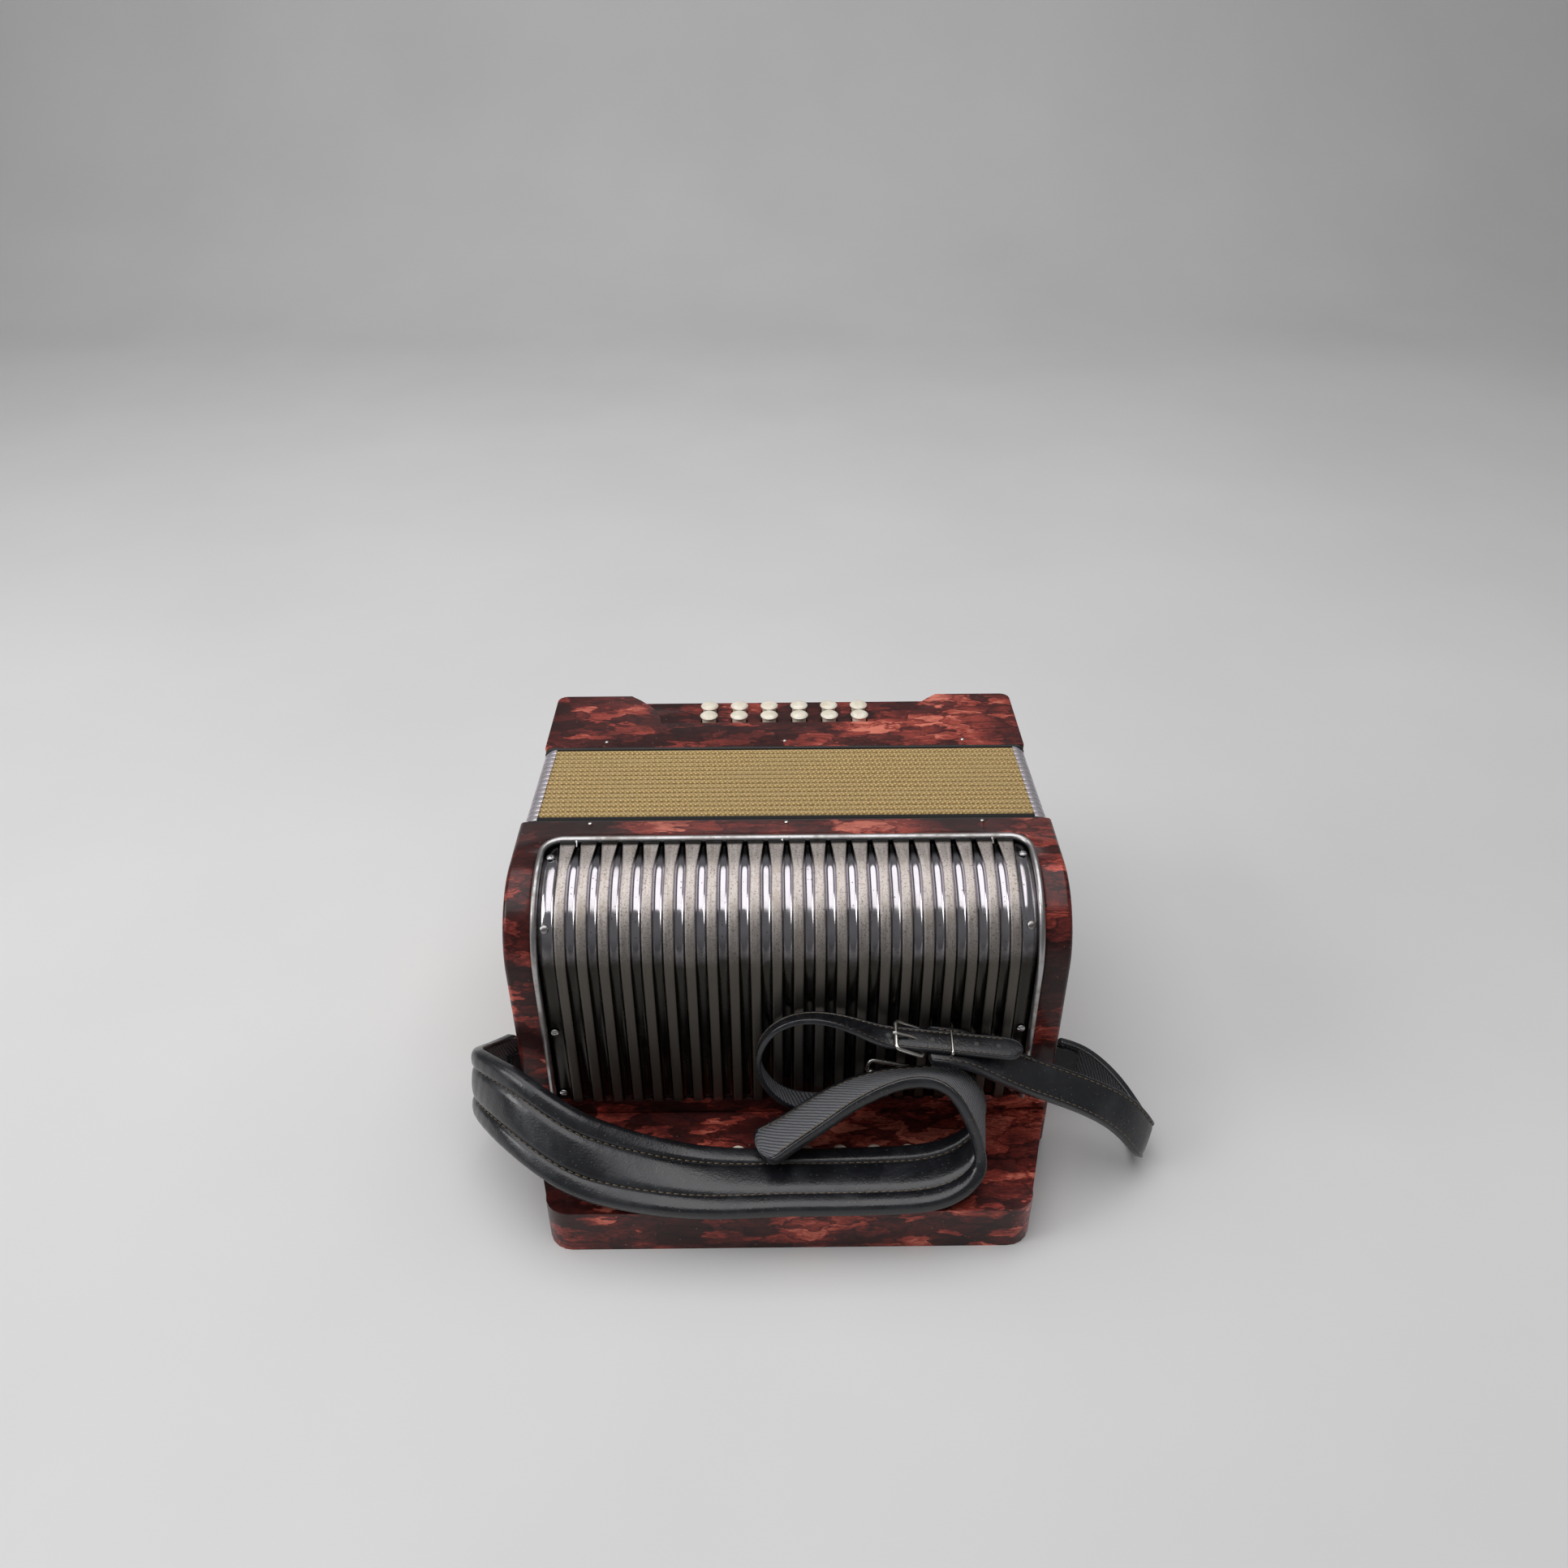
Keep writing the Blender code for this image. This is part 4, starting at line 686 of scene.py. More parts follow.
# Treble keys: a turned ivory-coloured button on a stem, a flat steel lever on the axle, and at its far end a
# wooden pallet faced with felt and leather, which closes a hole of the soundboard.
look = Finish("button_ivory", Coat_Weight=0.5, Coat_Roughness=0.08, Subsurface_Weight=0.08, Subsurface_Scale=0.002)
place = look.piece_place()
grain = noise(drawn_out(place, Scale=(220.0, 220.0, 900.0)), 1.0, 4.0)
smudges, specks = worn(place, 90.0, 1300.0, 0.08)
colour = ramp(grain, (0.3, (0.66, 0.60, 0.47)), (0.7, (0.80, 0.76, 0.66)))
colour = mixed(times(smudges, 0.35), colour, (0.50, 0.40, 0.25))
colour = mixed(times(specks, 0.5), colour, (0.16, 0.11, 0.06))
ivory = coated(look, colour, grain, 0.00003, smudges, 0.2, 0.24)


def waves(place, scale, direction, **inputs):
    """Parallel bands across a direction, as in growth rings, ribs and threads."""
    inputs = {"Vector": place, "Scale": scale, **inputs}
    return look_of(place).node("TexWave", inputs, bands_direction=direction).outputs["Fac"]


look = Finish("spruce_and_beech", Roughness=0.6)
lengthwise = drawn_out(look.piece_place(), Scale=(6.0, 120.0, 120.0))
wander = noise(lengthwise, 0.5, 3.0, "Color")
rings = waves(moved("ADD", lengthwise, wander), 0.35, "Z", Distortion=2.0, Detail=3.0)
wood = coated(look, ramp(rings, (0.2, (0.36, 0.21, 0.10)), (0.8, (0.55, 0.36, 0.19))), rings, 0.0001)

look = Finish("felt", Roughness=0.95, Sheen_Weight=0.4)
fuzz = noise(look.piece_place(), 900.0, 4.0, Roughness=0.8)
felt = coated(look, ramp(fuzz, (0.3, (0.030, 0.030, 0.032)), (0.7, (0.075, 0.072, 0.070))), fuzz, 0.0003)

BUTTON_TOP = 0.0362
FIRST_ROW_Y = END_Y - 0.0335
KEY_PITCH = 0.0195
ROW_PITCH = 0.0145
KEYS_IN_ROWS = (10, 11, 10)
PALLET_HEIGHTS = (0.060, 0.095, 0.130)
PALLET_BACK = TREBLE_MOUTH_Y - 0.0195 - 0.0003
PALLET_HALF, PALLET_HALF_HEIGHT, FELT_THICK, PALLET_THICK = 0.007, 0.011, 0.0012, 0.003
LEVER_HALF, LEVER_HALF_HEIGHT = 0.001, 0.003
SIDE_STEP = 0.004
STEEL, WOOD, FELT = 1, 2, 3


def turned(bm, profile, steps, top=0.0):
    """A solid turned about the upright axis from (radius, depth below the top) pairs that start and end on it."""
    verts = [bm.verts.new((profile[0][0], 0.0, top - profile[0][1]))]
    for radius, depth in profile[1:]:
        verts.append(line_to(bm, verts[-1], (radius, 0.0, top - depth)))
    edges = [bm.edges.get(pair) for pair in zip(verts, verts[1:])]
    bmesh.ops.spin(bm, geom=verts + edges, cent=(0, 0, 0), axis=(0, 0, 1), dvec=(0, 0, 0), angle=2 * math.pi,
                   steps=steps, use_merge=True, use_duplicate=False)


def key_drawn(row):
    """One key of a row with its button's middle at x 0. The last row's lever stands a step to one side."""
    bm = bmesh.new()
    y = FIRST_ROW_Y - row * ROW_PITCH
    shift = SIDE_STEP if row == 2 else 0.0
    pallet_z = PALLET_HEIGHTS[row]
    stem_foot = BUTTON_TOP - AXLE_Z + 0.001
    turned(bm, ((0.0, 0.0), (0.0024, 0.00008), (0.0037, 0.0004), (0.0044, 0.0010), (0.0046, 0.0018),
                (0.0046, 0.0087), (0.0020, 0.0087), (0.0020, stem_foot), (0.0, stem_foot)), 20, BUTTON_TOP)
    bmesh.ops.translate(bm, vec=(0, y, 0), verts=bm.verts)
    arm = PALLET_BACK - 0.013
    neck = PALLET_BACK - PALLET_THICK
    # Material, half width, middle's x, and the low and high ends along y and z
    parts = [
        (STEEL, LEVER_HALF, shift, y - 0.003, arm, AXLE_Z - LEVER_HALF_HEIGHT, AXLE_Z + LEVER_HALF_HEIGHT),
        (STEEL, LEVER_HALF, shift, arm - 0.005, arm, AXLE_Z + LEVER_HALF_HEIGHT, pallet_z + LEVER_HALF_HEIGHT),
        (STEEL, LEVER_HALF, shift, arm, neck, pallet_z - LEVER_HALF_HEIGHT, pallet_z + LEVER_HALF_HEIGHT),
    ]
    pallet = (pallet_z - PALLET_HALF_HEIGHT, pallet_z + PALLET_HALF_HEIGHT)
    parts.append((WOOD, PALLET_HALF, shift / 2, neck, PALLET_BACK - FELT_THICK, *pallet))
    parts.append((FELT, PALLET_HALF, shift / 2, PALLET_BACK - FELT_THICK, PALLET_BACK, *pallet))
    if shift:
        side_half = (shift + 0.0005) / 2
        parts.append((STEEL, side_half, side_half, y - 0.0027, y + 0.0027, AXLE_Z - 0.0027, AXLE_Z + 0.0027))
    for material, half, x, low_y, high_y, low_z, high_z in parts:
        before = set(bm.faces)
        block(bm, (x - half, low_y, low_z), (x + half, high_y, high_z), 0.0003, 1)
        for face in set(bm.faces) - before:
            face.material_index = material
    faced_out(bm)
    return bm


for row, count in enumerate(KEYS_IN_ROWS):
    model = key_drawn(row)
    for i in range(count):
        bm = model.copy()
        bmesh.ops.translate(bm, vec=((i - (count - 1) / 2) * KEY_PITCH, 0, 0), verts=bm.verts)
        number = f"r{row + 1}_{i + 1:02d}"
        key = new_piece(f"button_and_lever_{number}", bm, ivory, steel, wood, felt, sharp=35)
        placed(key, f"treble_key_{number}_body", f"treble_key_{number}")
    model.free()


# Soundboards and reed blocks: plain spruce and beech, cut and glued up inside both cases. The solids have their
# right shapes already, so they only get their wood.
for node in ("treble_soundboard", "treble_reed_block", "bass_soundboard"):
    for slot_in_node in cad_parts[node].material_slots:
        slot_in_node.material = wood


# Bellows frames: black-stained wooden rings, each with a felt gasket, that fill the cases' mouths. The bellows
# are glued to them, and pins through the cases hold them.
look = Finish("black_stained_wood", Coat_Weight=0.25, Coat_Roughness=0.3)
place = look.piece_place()
pores = noise(drawn_out(place, Scale=(30.0, 500.0, 500.0)), 1.0, 4.0)
smudges, specks = worn(place, 40.0, 700.0, 0.10)
colour = ramp(pores, (0.3, (0.008, 0.008, 0.009)), (0.7, (0.022, 0.021, 0.021)))
colour = mixed(times(specks, 0.4), colour, (0.10, 0.09, 0.08))
black_wood = coated(look, colour, pores, 0.0001, smudges, 0.15, 0.45)
for node, body in (("treble_bellows_frame", "treble_section"), ("bass_bellows_frame", "bass_section")):
    rounded_copy(node, f"{node}_ring", body, black_wood, width=0.0004, angle=40, segments=2)


# Bellows: sixteen folds of card in one tube. Gold cloth covers each fold's ridge, and black tape the first. The
# folds are pressed together here, so only fine lines part them. The tube is glued to the two frames.
FOLDS = 16
BELLOWS_HALF = 0.154
BELLOWS_LOW = 0.001
BELLOWS_TOP = 0.184
BASS_HALF = 0.1525
BELLOWS_START = 0.0441
BELLOWS_END = 0.1209
FOLD = (BELLOWS_END - BELLOWS_START) / FOLDS
FOLD_DEPTH = 0.009
CORNER = 0.008


def bellows_outline(half, low, high, radius, long_steps, short_steps, corner_steps):
    """Places (x, z) round the bellows' section, the same number for every ring."""
    middles = ((half - radius, high - radius, 0), (-half + radius, high - radius, 90),
               (-half + radius, low + radius, 180), (half - radius, low + radius, 270))

    def on_corner(x, z, degrees):
        angle = math.radians(degrees)
        return x + radius * math.cos(angle), z + radius * math.sin(angle)

    places = []
    for k, (x, z, first) in enumerate(middles):
        places += [on_corner(x, z, first + 90 * i / corner_steps) for i in range(corner_steps + 1)]
        (from_x, from_z), (to_x, to_z) = places[-1], on_corner(*middles[(k + 1) % 4])
        steps = short_steps if k % 2 else long_steps
        run_x, run_z = to_x - from_x, to_z - from_z
        places += [(from_x + run_x * i / steps, from_z + run_z * i / steps) for i in range(1, steps)]
    return places


def bellows_half(y):
    """Half the bellows' width at a place along them: they taper a little to the bass end."""
    return BELLOWS_HALF + (BASS_HALF - BELLOWS_HALF) * (y - BELLOWS_START) / (BELLOWS_END - BELLOWS_START)


def bellows_ring(y, dip):
    """The bellows' section at a place along them, drawn in by a dip."""
    half, radius = bellows_half(y) - dip, CORNER - dip * 0.45
    outline = bellows_outline(half, BELLOWS_LOW + dip, BELLOWS_TOP - dip, radius,
                              long_steps=26, short_steps=14, corner_steps=5)
    return [Vector((x, y, z)) for x, z in outline]


def stretched_between(piece):
    """Hides the bellows' solid, which a skin of the bellows takes the place of, and bakes the skin's place into
    its mesh.
    """
    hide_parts("bellows")
    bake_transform(piece)


def unrolled_place(look):
    """The place on a piece's unrolled skin, in metres."""
    return look.node("UVMap", uv_map="wrap").outputs["UV"]


look = Finish("gold_bellows_cloth", Sheen_Weight=0.25, Sheen_Roughness=0.5)
around = unrolled_place(look)
slanted = drawn_out(around, Rotation=(0.0, 0.0, 0.62))
dots = look.node("TexVoronoi", {"Vector": slanted, "Scale": 500.0, "Randomness": 0.15}).outputs["Distance"]
weft = waves(around, 330.0, "Y", Distortion=0.5, Detail=2.0)
warp = waves(around, 330.0, "X", Distortion=0.5, Detail=2.0)
streak = noise(drawn_out(around, Scale=(14.0, 160.0, 1.0)), 1.0, 5.0, Roughness=0.65)
smudges, specks = worn(look.piece_place(), 16.0, 500.0, 0.04)
knots = rise(dots, 0.20, 0.50)
colour = ramp(knots, (0.0, (0.64, 0.435, 0.155)), (1.0, (0.27, 0.175, 0.055)))
colour = mixed(times(rise(streak, 0.45, 0.70), 0.6), colour, (0.40, 0.285, 0.112))
colour = mixed(times(smudges, 0.25), colour, (0.34, 0.235, 0.09))
# Painted shade: the cloth is painted darker down in each crease, by how deep the fold dips there.
colour = mixed(times(painted(look, "fold_depth"), 0.8), colour, (0.16, 0.115, 0.05))
woven = plus(times(weft, 0.5), times(warp, 0.5))
cloth = coated(look, colour, minus(woven, knots), 0.00022, knots, 0.15, 0.52)

# Steps over one fold: the share of its length and its dip as a share of the fold's depth
ridge = ((0.03, 0.50), (0.06, 0.16), (0.12, 0.08), (0.30, 0.02), (0.5, 0.0), (0.70, 0.02), (0.88, 0.08),
         (0.94, 0.16), (0.97, 0.50), (1.0, 1.0))
folds = [(BELLOWS_START, 1.0)]
for fold in range(FOLDS):
    folds += [(BELLOWS_START + (fold + share) * FOLD, dip) for share, dip in ridge]


def unroll(bm, skins, measured, along):
    """Lays a swept skin out flat in the map "wrap", measured round one ring, and gives each vertex's place."""
    ring = skins[measured]
    across = [0.0]
    for a, b in zip(ring, ring[1:] + ring[:1]):
        across.append(across[-1] + (b.co - a.co).length)
    spot = {vert: (i, j) for i, skin in enumerate(skins) for j, vert in enumerate(skin)}
    layer = bm.loops.layers.uv.new("wrap")
    for face in bm.faces:
        columns = [spot[loop.vert][1] for loop in face.loops]
        at_seam = max(columns) - min(columns) > 1
        for loop in face.loops:
            i, j = spot[loop.vert]
            loop[layer].uv = (across[-1 if at_seam and j == 0 else j], along[i])
    return spot


bm = bmesh.new()
depth_layer = bm.verts.layers.float.new("fold_depth")
skins = sweep(bm, [bellows_ring(y, dip * FOLD_DEPTH) for y, dip in folds], capped=False)
spot = unroll(bm, skins, 5, [y for y, dip in folds])
# Each vertex carries how deep its fold dips, which paints the shade in the creases.
for vert, (ring, column) in spot.items():
    vert[depth_layer] = min(1.0, folds[ring][1] * 1.5)
for face in bm.faces:
    if max(spot[vert][0] for vert in face.verts) <= len(ridge):
        face.material_index = 1
faced_out(bm)
stretched_between(new_piece("bellows_cloth_tube", bm, cloth, cloth_black))


# Corner guards: a bent nickel-plated corner pressed over each fold at the tube's four corners, so that the cloth
# doesn't wear through where it rubs.
guard_metal = nickel("guard_nickel", (70.0, 900.0, 0.12), (0.78, 0.74, 0.79), (0.55, 0.50, 0.51),
                     (0.15, 0.10, 0.06), 0.36, 0.00005, pitted=False)
GUARD_CROWN, GUARD_EDGE, GUARD_SHEET = 0.00035, 0.00013, 0.0003
CORNER_REACH = CORNER * math.pi / 4
GUARD_REACH = CORNER_REACH + 0.0001
bm = bmesh.new()
for fold in range(FOLDS):
    for side, end in ((1, 1), (-1, 1), (-1, -1), (1, -1)):
        for vert in bmesh.ops.create_grid(bm, x_segments=12, y_segments=5, size=1.0)["verts"]:
            y = BELLOWS_START + FOLD * (fold + 0.03 + 0.94 * (vert.co.y + 1) / 2)
            crown = CORNER + GUARD_CROWN - (GUARD_CROWN - GUARD_EDGE) * vert.co.y ** 6
            run = vert.co.x * GUARD_REACH
            bend = max(-CORNER_REACH, min(CORNER_REACH, run))
            angle = math.pi / 4 + bend / CORNER
            x = bellows_half(y) - CORNER + crown * math.cos(angle) - max(run - bend, 0.0)
            z = crown * math.sin(angle) + min(run - bend, 0.0)
            vert.co = (side * x, y, BELLOWS_TOP - CORNER + z if end > 0 else BELLOWS_LOW + CORNER - z)
faced_out(bm)
middle = Vector((0, 0, 0.09))
if sum(f.normal.dot((f.calc_center_median() - middle) * Vector((1, 0, 1))) for f in bm.faces) < 0:
    bmesh.ops.reverse_faces(bm, faces=bm.faces)
bmesh.ops.solidify(bm, geom=bm.faces[:], thickness=GUARD_SHEET)
stretched_between(new_piece("bellows_corner_guards", bm, guard_metal, sharp=50))


# Bass case: a wooden box, open to the bellows and covered in the same pearloid, with a scooped recess in its
# front where the bass buttons stand.
rounded_copy("bass_case", "bass_case_shell", "bass_section", pearloid, width=0.0013, angle=50)


# Bass buttons: twelve turned ivory-coloured buttons with mushroom heads, each with the collar that stops it
# under the recess's floor.
BASS_ROWS, BASS_IN_ROW = 2, 6
BASS_ROW_Y = 0.1647
BASS_ROW_PITCH, BASS_PITCH = 0.0125, 0.020
BASS_TOP = 0.184
mushroom = ((0.0, 0.0), (0.0022, 0.00008), (0.0040, 0.00035), (0.0052, 0.0009), (0.0058, 0.0015), (0.0057, 0.0019),
            (0.0051, 0.0022), (0.0046, 0.0023), (0.0046, 0.0113), (0.0060, 0.0113), (0.0060, 0.0133),
            (0.0025, 0.0133), (0.0025, 0.0273), (0.0, 0.0273))
for row in range(BASS_ROWS):
    for i in range(BASS_IN_ROW):
        bm = bmesh.new()
        turned(bm, mushroom, 28, BASS_TOP)
        place = ((i - (BASS_IN_ROW - 1) / 2) * BASS_PITCH, BASS_ROW_Y + row * BASS_ROW_PITCH, 0)
        bmesh.ops.translate(bm, vec=place, verts=bm.verts)
        faced_out(bm)
        node = f"bass_button_r{row + 1}_{i + 1}"
        placed(new_piece(f"turned_{node}", bm, ivory, sharp=35), f"{node}_body", node)


# Air button: the same turned ivory, wider, standing out of the bass end where the left thumb reaches it. It opens
# a valve, so that the bellows can move without a note.
AIR_PLACE = (-0.128, 0.197, 0.135)
bm = bmesh.new()
turned(bm, ((0.0, 0.0), (0.0030, 0.0001), (0.0048, 0.0005), (0.0060, 0.0013), (0.0065, 0.0026), (0.0065, 0.0138),
            (0.0073, 0.0138), (0.0073, 0.0158), (0.0030, 0.0158), (0.0030, 0.0278), (0.0, 0.0278)), 32)
bmesh.ops.rotate(bm, cent=(0, 0, 0), matrix=Matrix.Rotation(math.radians(-90), 3, "X"), verts=bm.verts)
bmesh.ops.translate(bm, vec=AIR_PLACE, verts=bm.verts)
faced_out(bm)
placed(new_piece("turned_air_button", bm, ivory, sharp=35), "air_button_body", "air_button")


# Case pins: small round-headed steel pins are driven through the cases' fronts and sides into the bellows frames,
# and hold the sections together.
PIN_RADIUS = 0.0013
for name, y, half, top, body in (("treble_pins", 0.0395, TREBLE_HALF, TREBLE_TOP, "treble_section"),
                                 ("bass_pins", 0.1300, BASS_HALF, BASS_TOP, "bass_section")):
    bm = bmesh.new()
    heads = [((x, y, top), (1, 1, 0.5)) for x in (-0.1140, 0.0, 0.1140)]
    heads += [((side * half, y, z), (0.5, 1, 1)) for side in (-1, 1) for z in (0.030, 0.155)]
    for place, flattened in heads:
        made = bmesh.ops.create_uvsphere(bm, u_segments=14, v_segments=8, radius=PIN_RADIUS)["verts"]
        bmesh.ops.scale(bm, vec=flattened, verts=made)
        bmesh.ops.translate(bm, vec=place, verts=made)
    placed(new_piece(name, bm, steel), body)


# Left shoulder strap: black leather sewn in three padded lobes over a ribbed lining. It comes up from its lug,
# lies on the buttons and folds back over itself, where it narrows and shows the lining.
look = Finish("black_strap_leather", Coat_Weight=0.22, Coat_Roughness=0.20)
place = look.piece_place()
pebbles = look.node("TexVoronoi", {"Vector": place, "Scale": 950.0}, feature="SMOOTH_F1").outputs["Distance"]
creases = noise(place, 160.0, 6.0, Roughness=0.7)
smudges, specks = worn(place, 32.0, 600.0, 0.10)
colour = ramp(creases, (0.35, (0.0052, 0.0056, 0.0072)), (0.75, (0.0115, 0.0122, 0.0150)))
colour = mixed(times(smudges, 0.6), colour, (0.021, 0.0225, 0.027))
colour = mixed(times(specks, 0.35), colour, (0.12, 0.115, 0.11))
leather = coated(look, colour, plus(times(pebbles, 0.5), creases), 0.00018, smudges, 0.2, 0.26)

look = Finish("ribbed_strap_lining", Roughness=0.7, Sheen_Weight=0.3)
slanted = drawn_out(unrolled_place(look), Rotation=(0.0, 0.0, 0.5))
ribs = waves(slanted, 125.0, "Y", Distortion=1.6, Detail=2.0)
weave = waves(slanted, 300.0, "X", Distortion=0.8)
colour = ramp(ribs, (0.30, (0.0040, 0.0044, 0.0060)), (0.80, (0.125, 0.132, 0.160)))
colour = mixed(times(weave, 0.45), colour, (0.008, 0.0085, 0.012))
lining = coated(look, colour, plus(ribs, times(weave, 0.3)), 0.0009)

look = Finish("waxed_thread", Roughness=0.55)
twist = noise(look.piece_place(), 1500.0, 2.0)
thread = coated(look, ramp(twist, (0.3, (0.085, 0.060, 0.034)), (0.7, (0.20, 0.145, 0.085))), twist, 0.00008)


def from_middle(x, y, z):
    """A place measured from the treble end and the button tops, as the straps' routes are given."""
    return Vector((x, END_Y + y, BUTTON_TOP + z))


def smooth_line(points, steps):
    """A Catmull-Rom line through the points."""
    last = len(points) - 1
    line = []
    for i in range(last):
        before, start, end, after = points[max(i - 1, 0)], points[i], points[i + 1], points[min(i + 2, last)]
        for t in (step / steps for step in range(steps)):
            line.append(0.5 * (2 * start + (end - before) * t + (2 * before - 5 * start + 4 * end - after) * t**2
                               + (3 * start - before - 3 * end + after) * t**3))
    return line + [points[last]]


def stations_of(route, width, steps, passes=36):
    """(middle, half width vector, upward normal, run) along a band, from its far edge, lean and share of width."""
    edges = [(Vector(place), Vector(lean).normalized() * width * share) for place, lean, share in route]
    far = smooth_line([place for place, across in edges], steps)
    near = smooth_line([place - across for place, across in edges], steps)
    for line in (near, far):
        for _ in range(passes):
            line[1:-1] = [(a + 2 * b + c) / 4 for a, b, c in zip(line, line[1:], line[2:])]
    middles = [(a + b) / 2 for a, b in zip(near, far)]
    last = len(middles) - 1
    stations, run = [], 0.0
    for i, (middle, a, b) in enumerate(zip(middles, near, far)):
        along = middles[min(i + 1, last)] - middles[max(i - 1, 0)]
        run += (middle - middles[max(i - 1, 0)]).length
        stations.append((middle, (b - a) / 2, along.cross(b - a).normalized(), run))
    return stations


def on_band(stations, run, share, height):
    """A place on a band: a run along it, a share of its half width and a height over its middle plane."""
    after = next((i for i, s in enumerate(stations) if s[3] >= run and i), len(stations) - 1)
    a, b = stations[after - 1], stations[after]
    t = (run - a[3]) / (b[3] - a[3])
    return (a[0] + a[1] * share + a[2] * height).lerp(b[0] + b[1] * share + b[2] * height, t)


def lobes(seam, edge, top, dip, steps):
    """(share, height) over a band's top: lobes that meet in two seams, and run down to the edge at both sides."""
    bounds = (-1.0, -seam, seam, 1.0)
    places = []
    for start, end in zip(bounds, bounds[1:]):
        for i in range(steps if end < 1.0 else steps + 1):
            t = i / steps
            outer = (start == -1.0 and t < 0.5) or (end == 1.0 and t > 0.5)
            low = edge if outer else top - dip
            bulge = (1 - abs(2 * t - 1) ** 2.4) ** (1 / 2.4)
            places.append((start + (end - start) * t, low + (top - low) * bulge))
    return places


def underside(level, depth):
    """(share, height) places under a band from its far to its near edge: piping at both edges, lining between."""
    piping = [(0.985, level + 0.0004), (0.93, level), (0.87, level + 0.0003)]
    half = piping + [(0.84, level + depth), (0.42, level + depth)]
    return half + [(0.0, level + depth)] + [(-share, height) for share, height in reversed(half)]


def upside_down(places):
    """The same places on the other side of a band, for a strap that turns over on its way."""
    return [(-share, -height) for share, height in places]


def band_piece(name, node, stations, over, under, start_tip=0.003, end_tip=0.003, pucker=0.0,
               body="treble_section"):
    """A leather band from its stations. Over and under are (share, height) places; the under side is lined."""
    section = over + under
    length = stations[-1][3]
    rings = []
    for middle, half, up, run in stations:
        from_ends = ((run, start_tip), (length - run, end_tip))
        to_tip = [1 - (1 - min(1.0, (d + 0.0002) / tip)) ** 2 for d, tip in from_ends]
        squeeze = min(1.0, *[max(share, 0.0) ** 0.5 for share in to_tip])
        wave = 1.0 - pucker * (0.5 + 0.5 * math.cos(2 * math.pi * run / PUCKER_PITCH))
        rings.append([middle + half * share * squeeze + up * height * (wave if k < len(over) else 1.0)
                      for k, (share, height) in enumerate(section)])
    bm = bmesh.new()
    skins = sweep(bm, rings)
    spot = unroll(bm, skins, len(skins) // 2, [station[3] for station in stations])
    first, last = len(over) + 3, len(section) - 4
    for face in bm.faces:
        columns = [spot[v][1] for v in face.verts]
        if len(columns) == 4 and first <= min(columns) and max(columns) <= last:
            face.material_index = 1
    faced_out(bm)
    piece = new_piece(name, bm, leather, lining, sharp=60)
    placed(piece, body, node)
    return piece


def sewn(name, stations, lines, body="treble_section", pitch=0.0042, length=0.0027, radius=0.00030):
    """Stitches along a band: each line is (share, height, first run, last run)."""
    bm = bmesh.new()
    for share, height, first, last in lines:
        for k in range(int((last - first) / pitch)):
            start = first + k * pitch
            bar(bm, *[on_band(stations, run, share, height) for run in (start, start + length)], radius, sides=6)
    placed(new_piece(name, bm, thread), body)


UPRIGHT = (0.0, 0.0, 1.0)
CLEAR = 0.0003
STRAP_WIDTH, STRAP_THICK = 0.044, 0.007
PUCKER_PITCH = 0.0084
ROUTE_STEPS = 12
END_MARGIN = 0.004
lying = STRAP_THICK / 2 + CLEAR
lug_side = -TREBLE_HALF - LUG_REACH - CLEAR - STRAP_THICK / 2
# Far edge's place, lean from near to far edge, share of the width
route = [(from_middle(lug_side, LUG_Y - END_Y, 0.0158), UPRIGHT, 1.0)]
route += [(from_middle(x - TREBLE_HALF, y, z), lean, 1.0) for (x, y, z), lean in (
    ((-0.0240, 0.0280, 0.0258), (0.0, 0.1, 1.0)),
    ((-0.0273, 0.0100, 0.0405), (0.05, 0.2, 0.97)),
    ((-0.0170, -0.0030, 0.0472), (0.15, 0.3, 0.94)),
    ((0.0050, -0.0200, 0.0519), (0.25, 0.5, 0.83)),
    ((0.0331, -0.0360, 0.0418), (0.20, 0.68, 0.70)),
    ((0.0578, -0.0380, 0.0285), (0.12, 0.83, 0.55)),
    ((0.1035, -0.0370, 0.0085), (0.03, 0.98, 0.14)),
)]
route += [(from_middle(x, y, lying + lift), (0.0, 1.0, 0.0), 1.0) for x, y, lift in (
    (-0.0080, -0.0360, 0.0008),
    (0.0200, -0.0355, 0.0),
    (0.0500, -0.0350, 0.0),
    (0.0840, -0.0330, 0.0008),
)]
fold_start = len(route)
route += [(from_middle(*place), lean, share) for place, lean, share in (
    ((0.1070, -0.0260, 0.0150), (0.1, 1.0, 0.02), 0.95),
    ((0.1090, -0.0210, 0.0290), (0.15, 0.98, 0.05), 0.88),
    ((0.1005, -0.0170, 0.0430), (0.12, 0.98, -0.1), 0.84),
    ((0.0906, -0.0126, 0.0435), (0.1, 0.9, -0.42), 0.82),
    ((0.0770, -0.0120, 0.0400), (0.08, 0.8, -0.6), 0.77),
    ((0.0560, -0.0120, 0.0390), (-0.05, 0.82, -0.55), 0.75),
    ((0.0320, -0.0140, 0.0330), (-0.15, 0.88, -0.42), 0.75),
    ((0.0130, -0.0190, 0.0240), (-0.25, 0.88, -0.37), 0.75),
    ((-0.0050, -0.0250, 0.0140), (-0.3, 0.86, -0.38), 0.75),
    ((-0.0220, -0.0310, 0.0095), (-0.3, 0.9, -0.25), 0.75),
)]
left_lie = stations_of(route, STRAP_WIDTH, ROUTE_STEPS)
LEFT_SEAM, LEFT_EDGE = 0.46, 0.80
left_strap = band_piece("left_strap_padded", "left_shoulder_strap", left_lie,
                        lobes(LEFT_SEAM, edge=-0.0024, top=0.0035, dip=0.0022, steps=10),
                        underside(level=-0.0035, depth=0.0008), end_tip=0.007, pucker=0.05)
left_end = left_lie[-1][3] - 0.006
folded = left_lie[fold_start * ROUTE_STEPS][3]
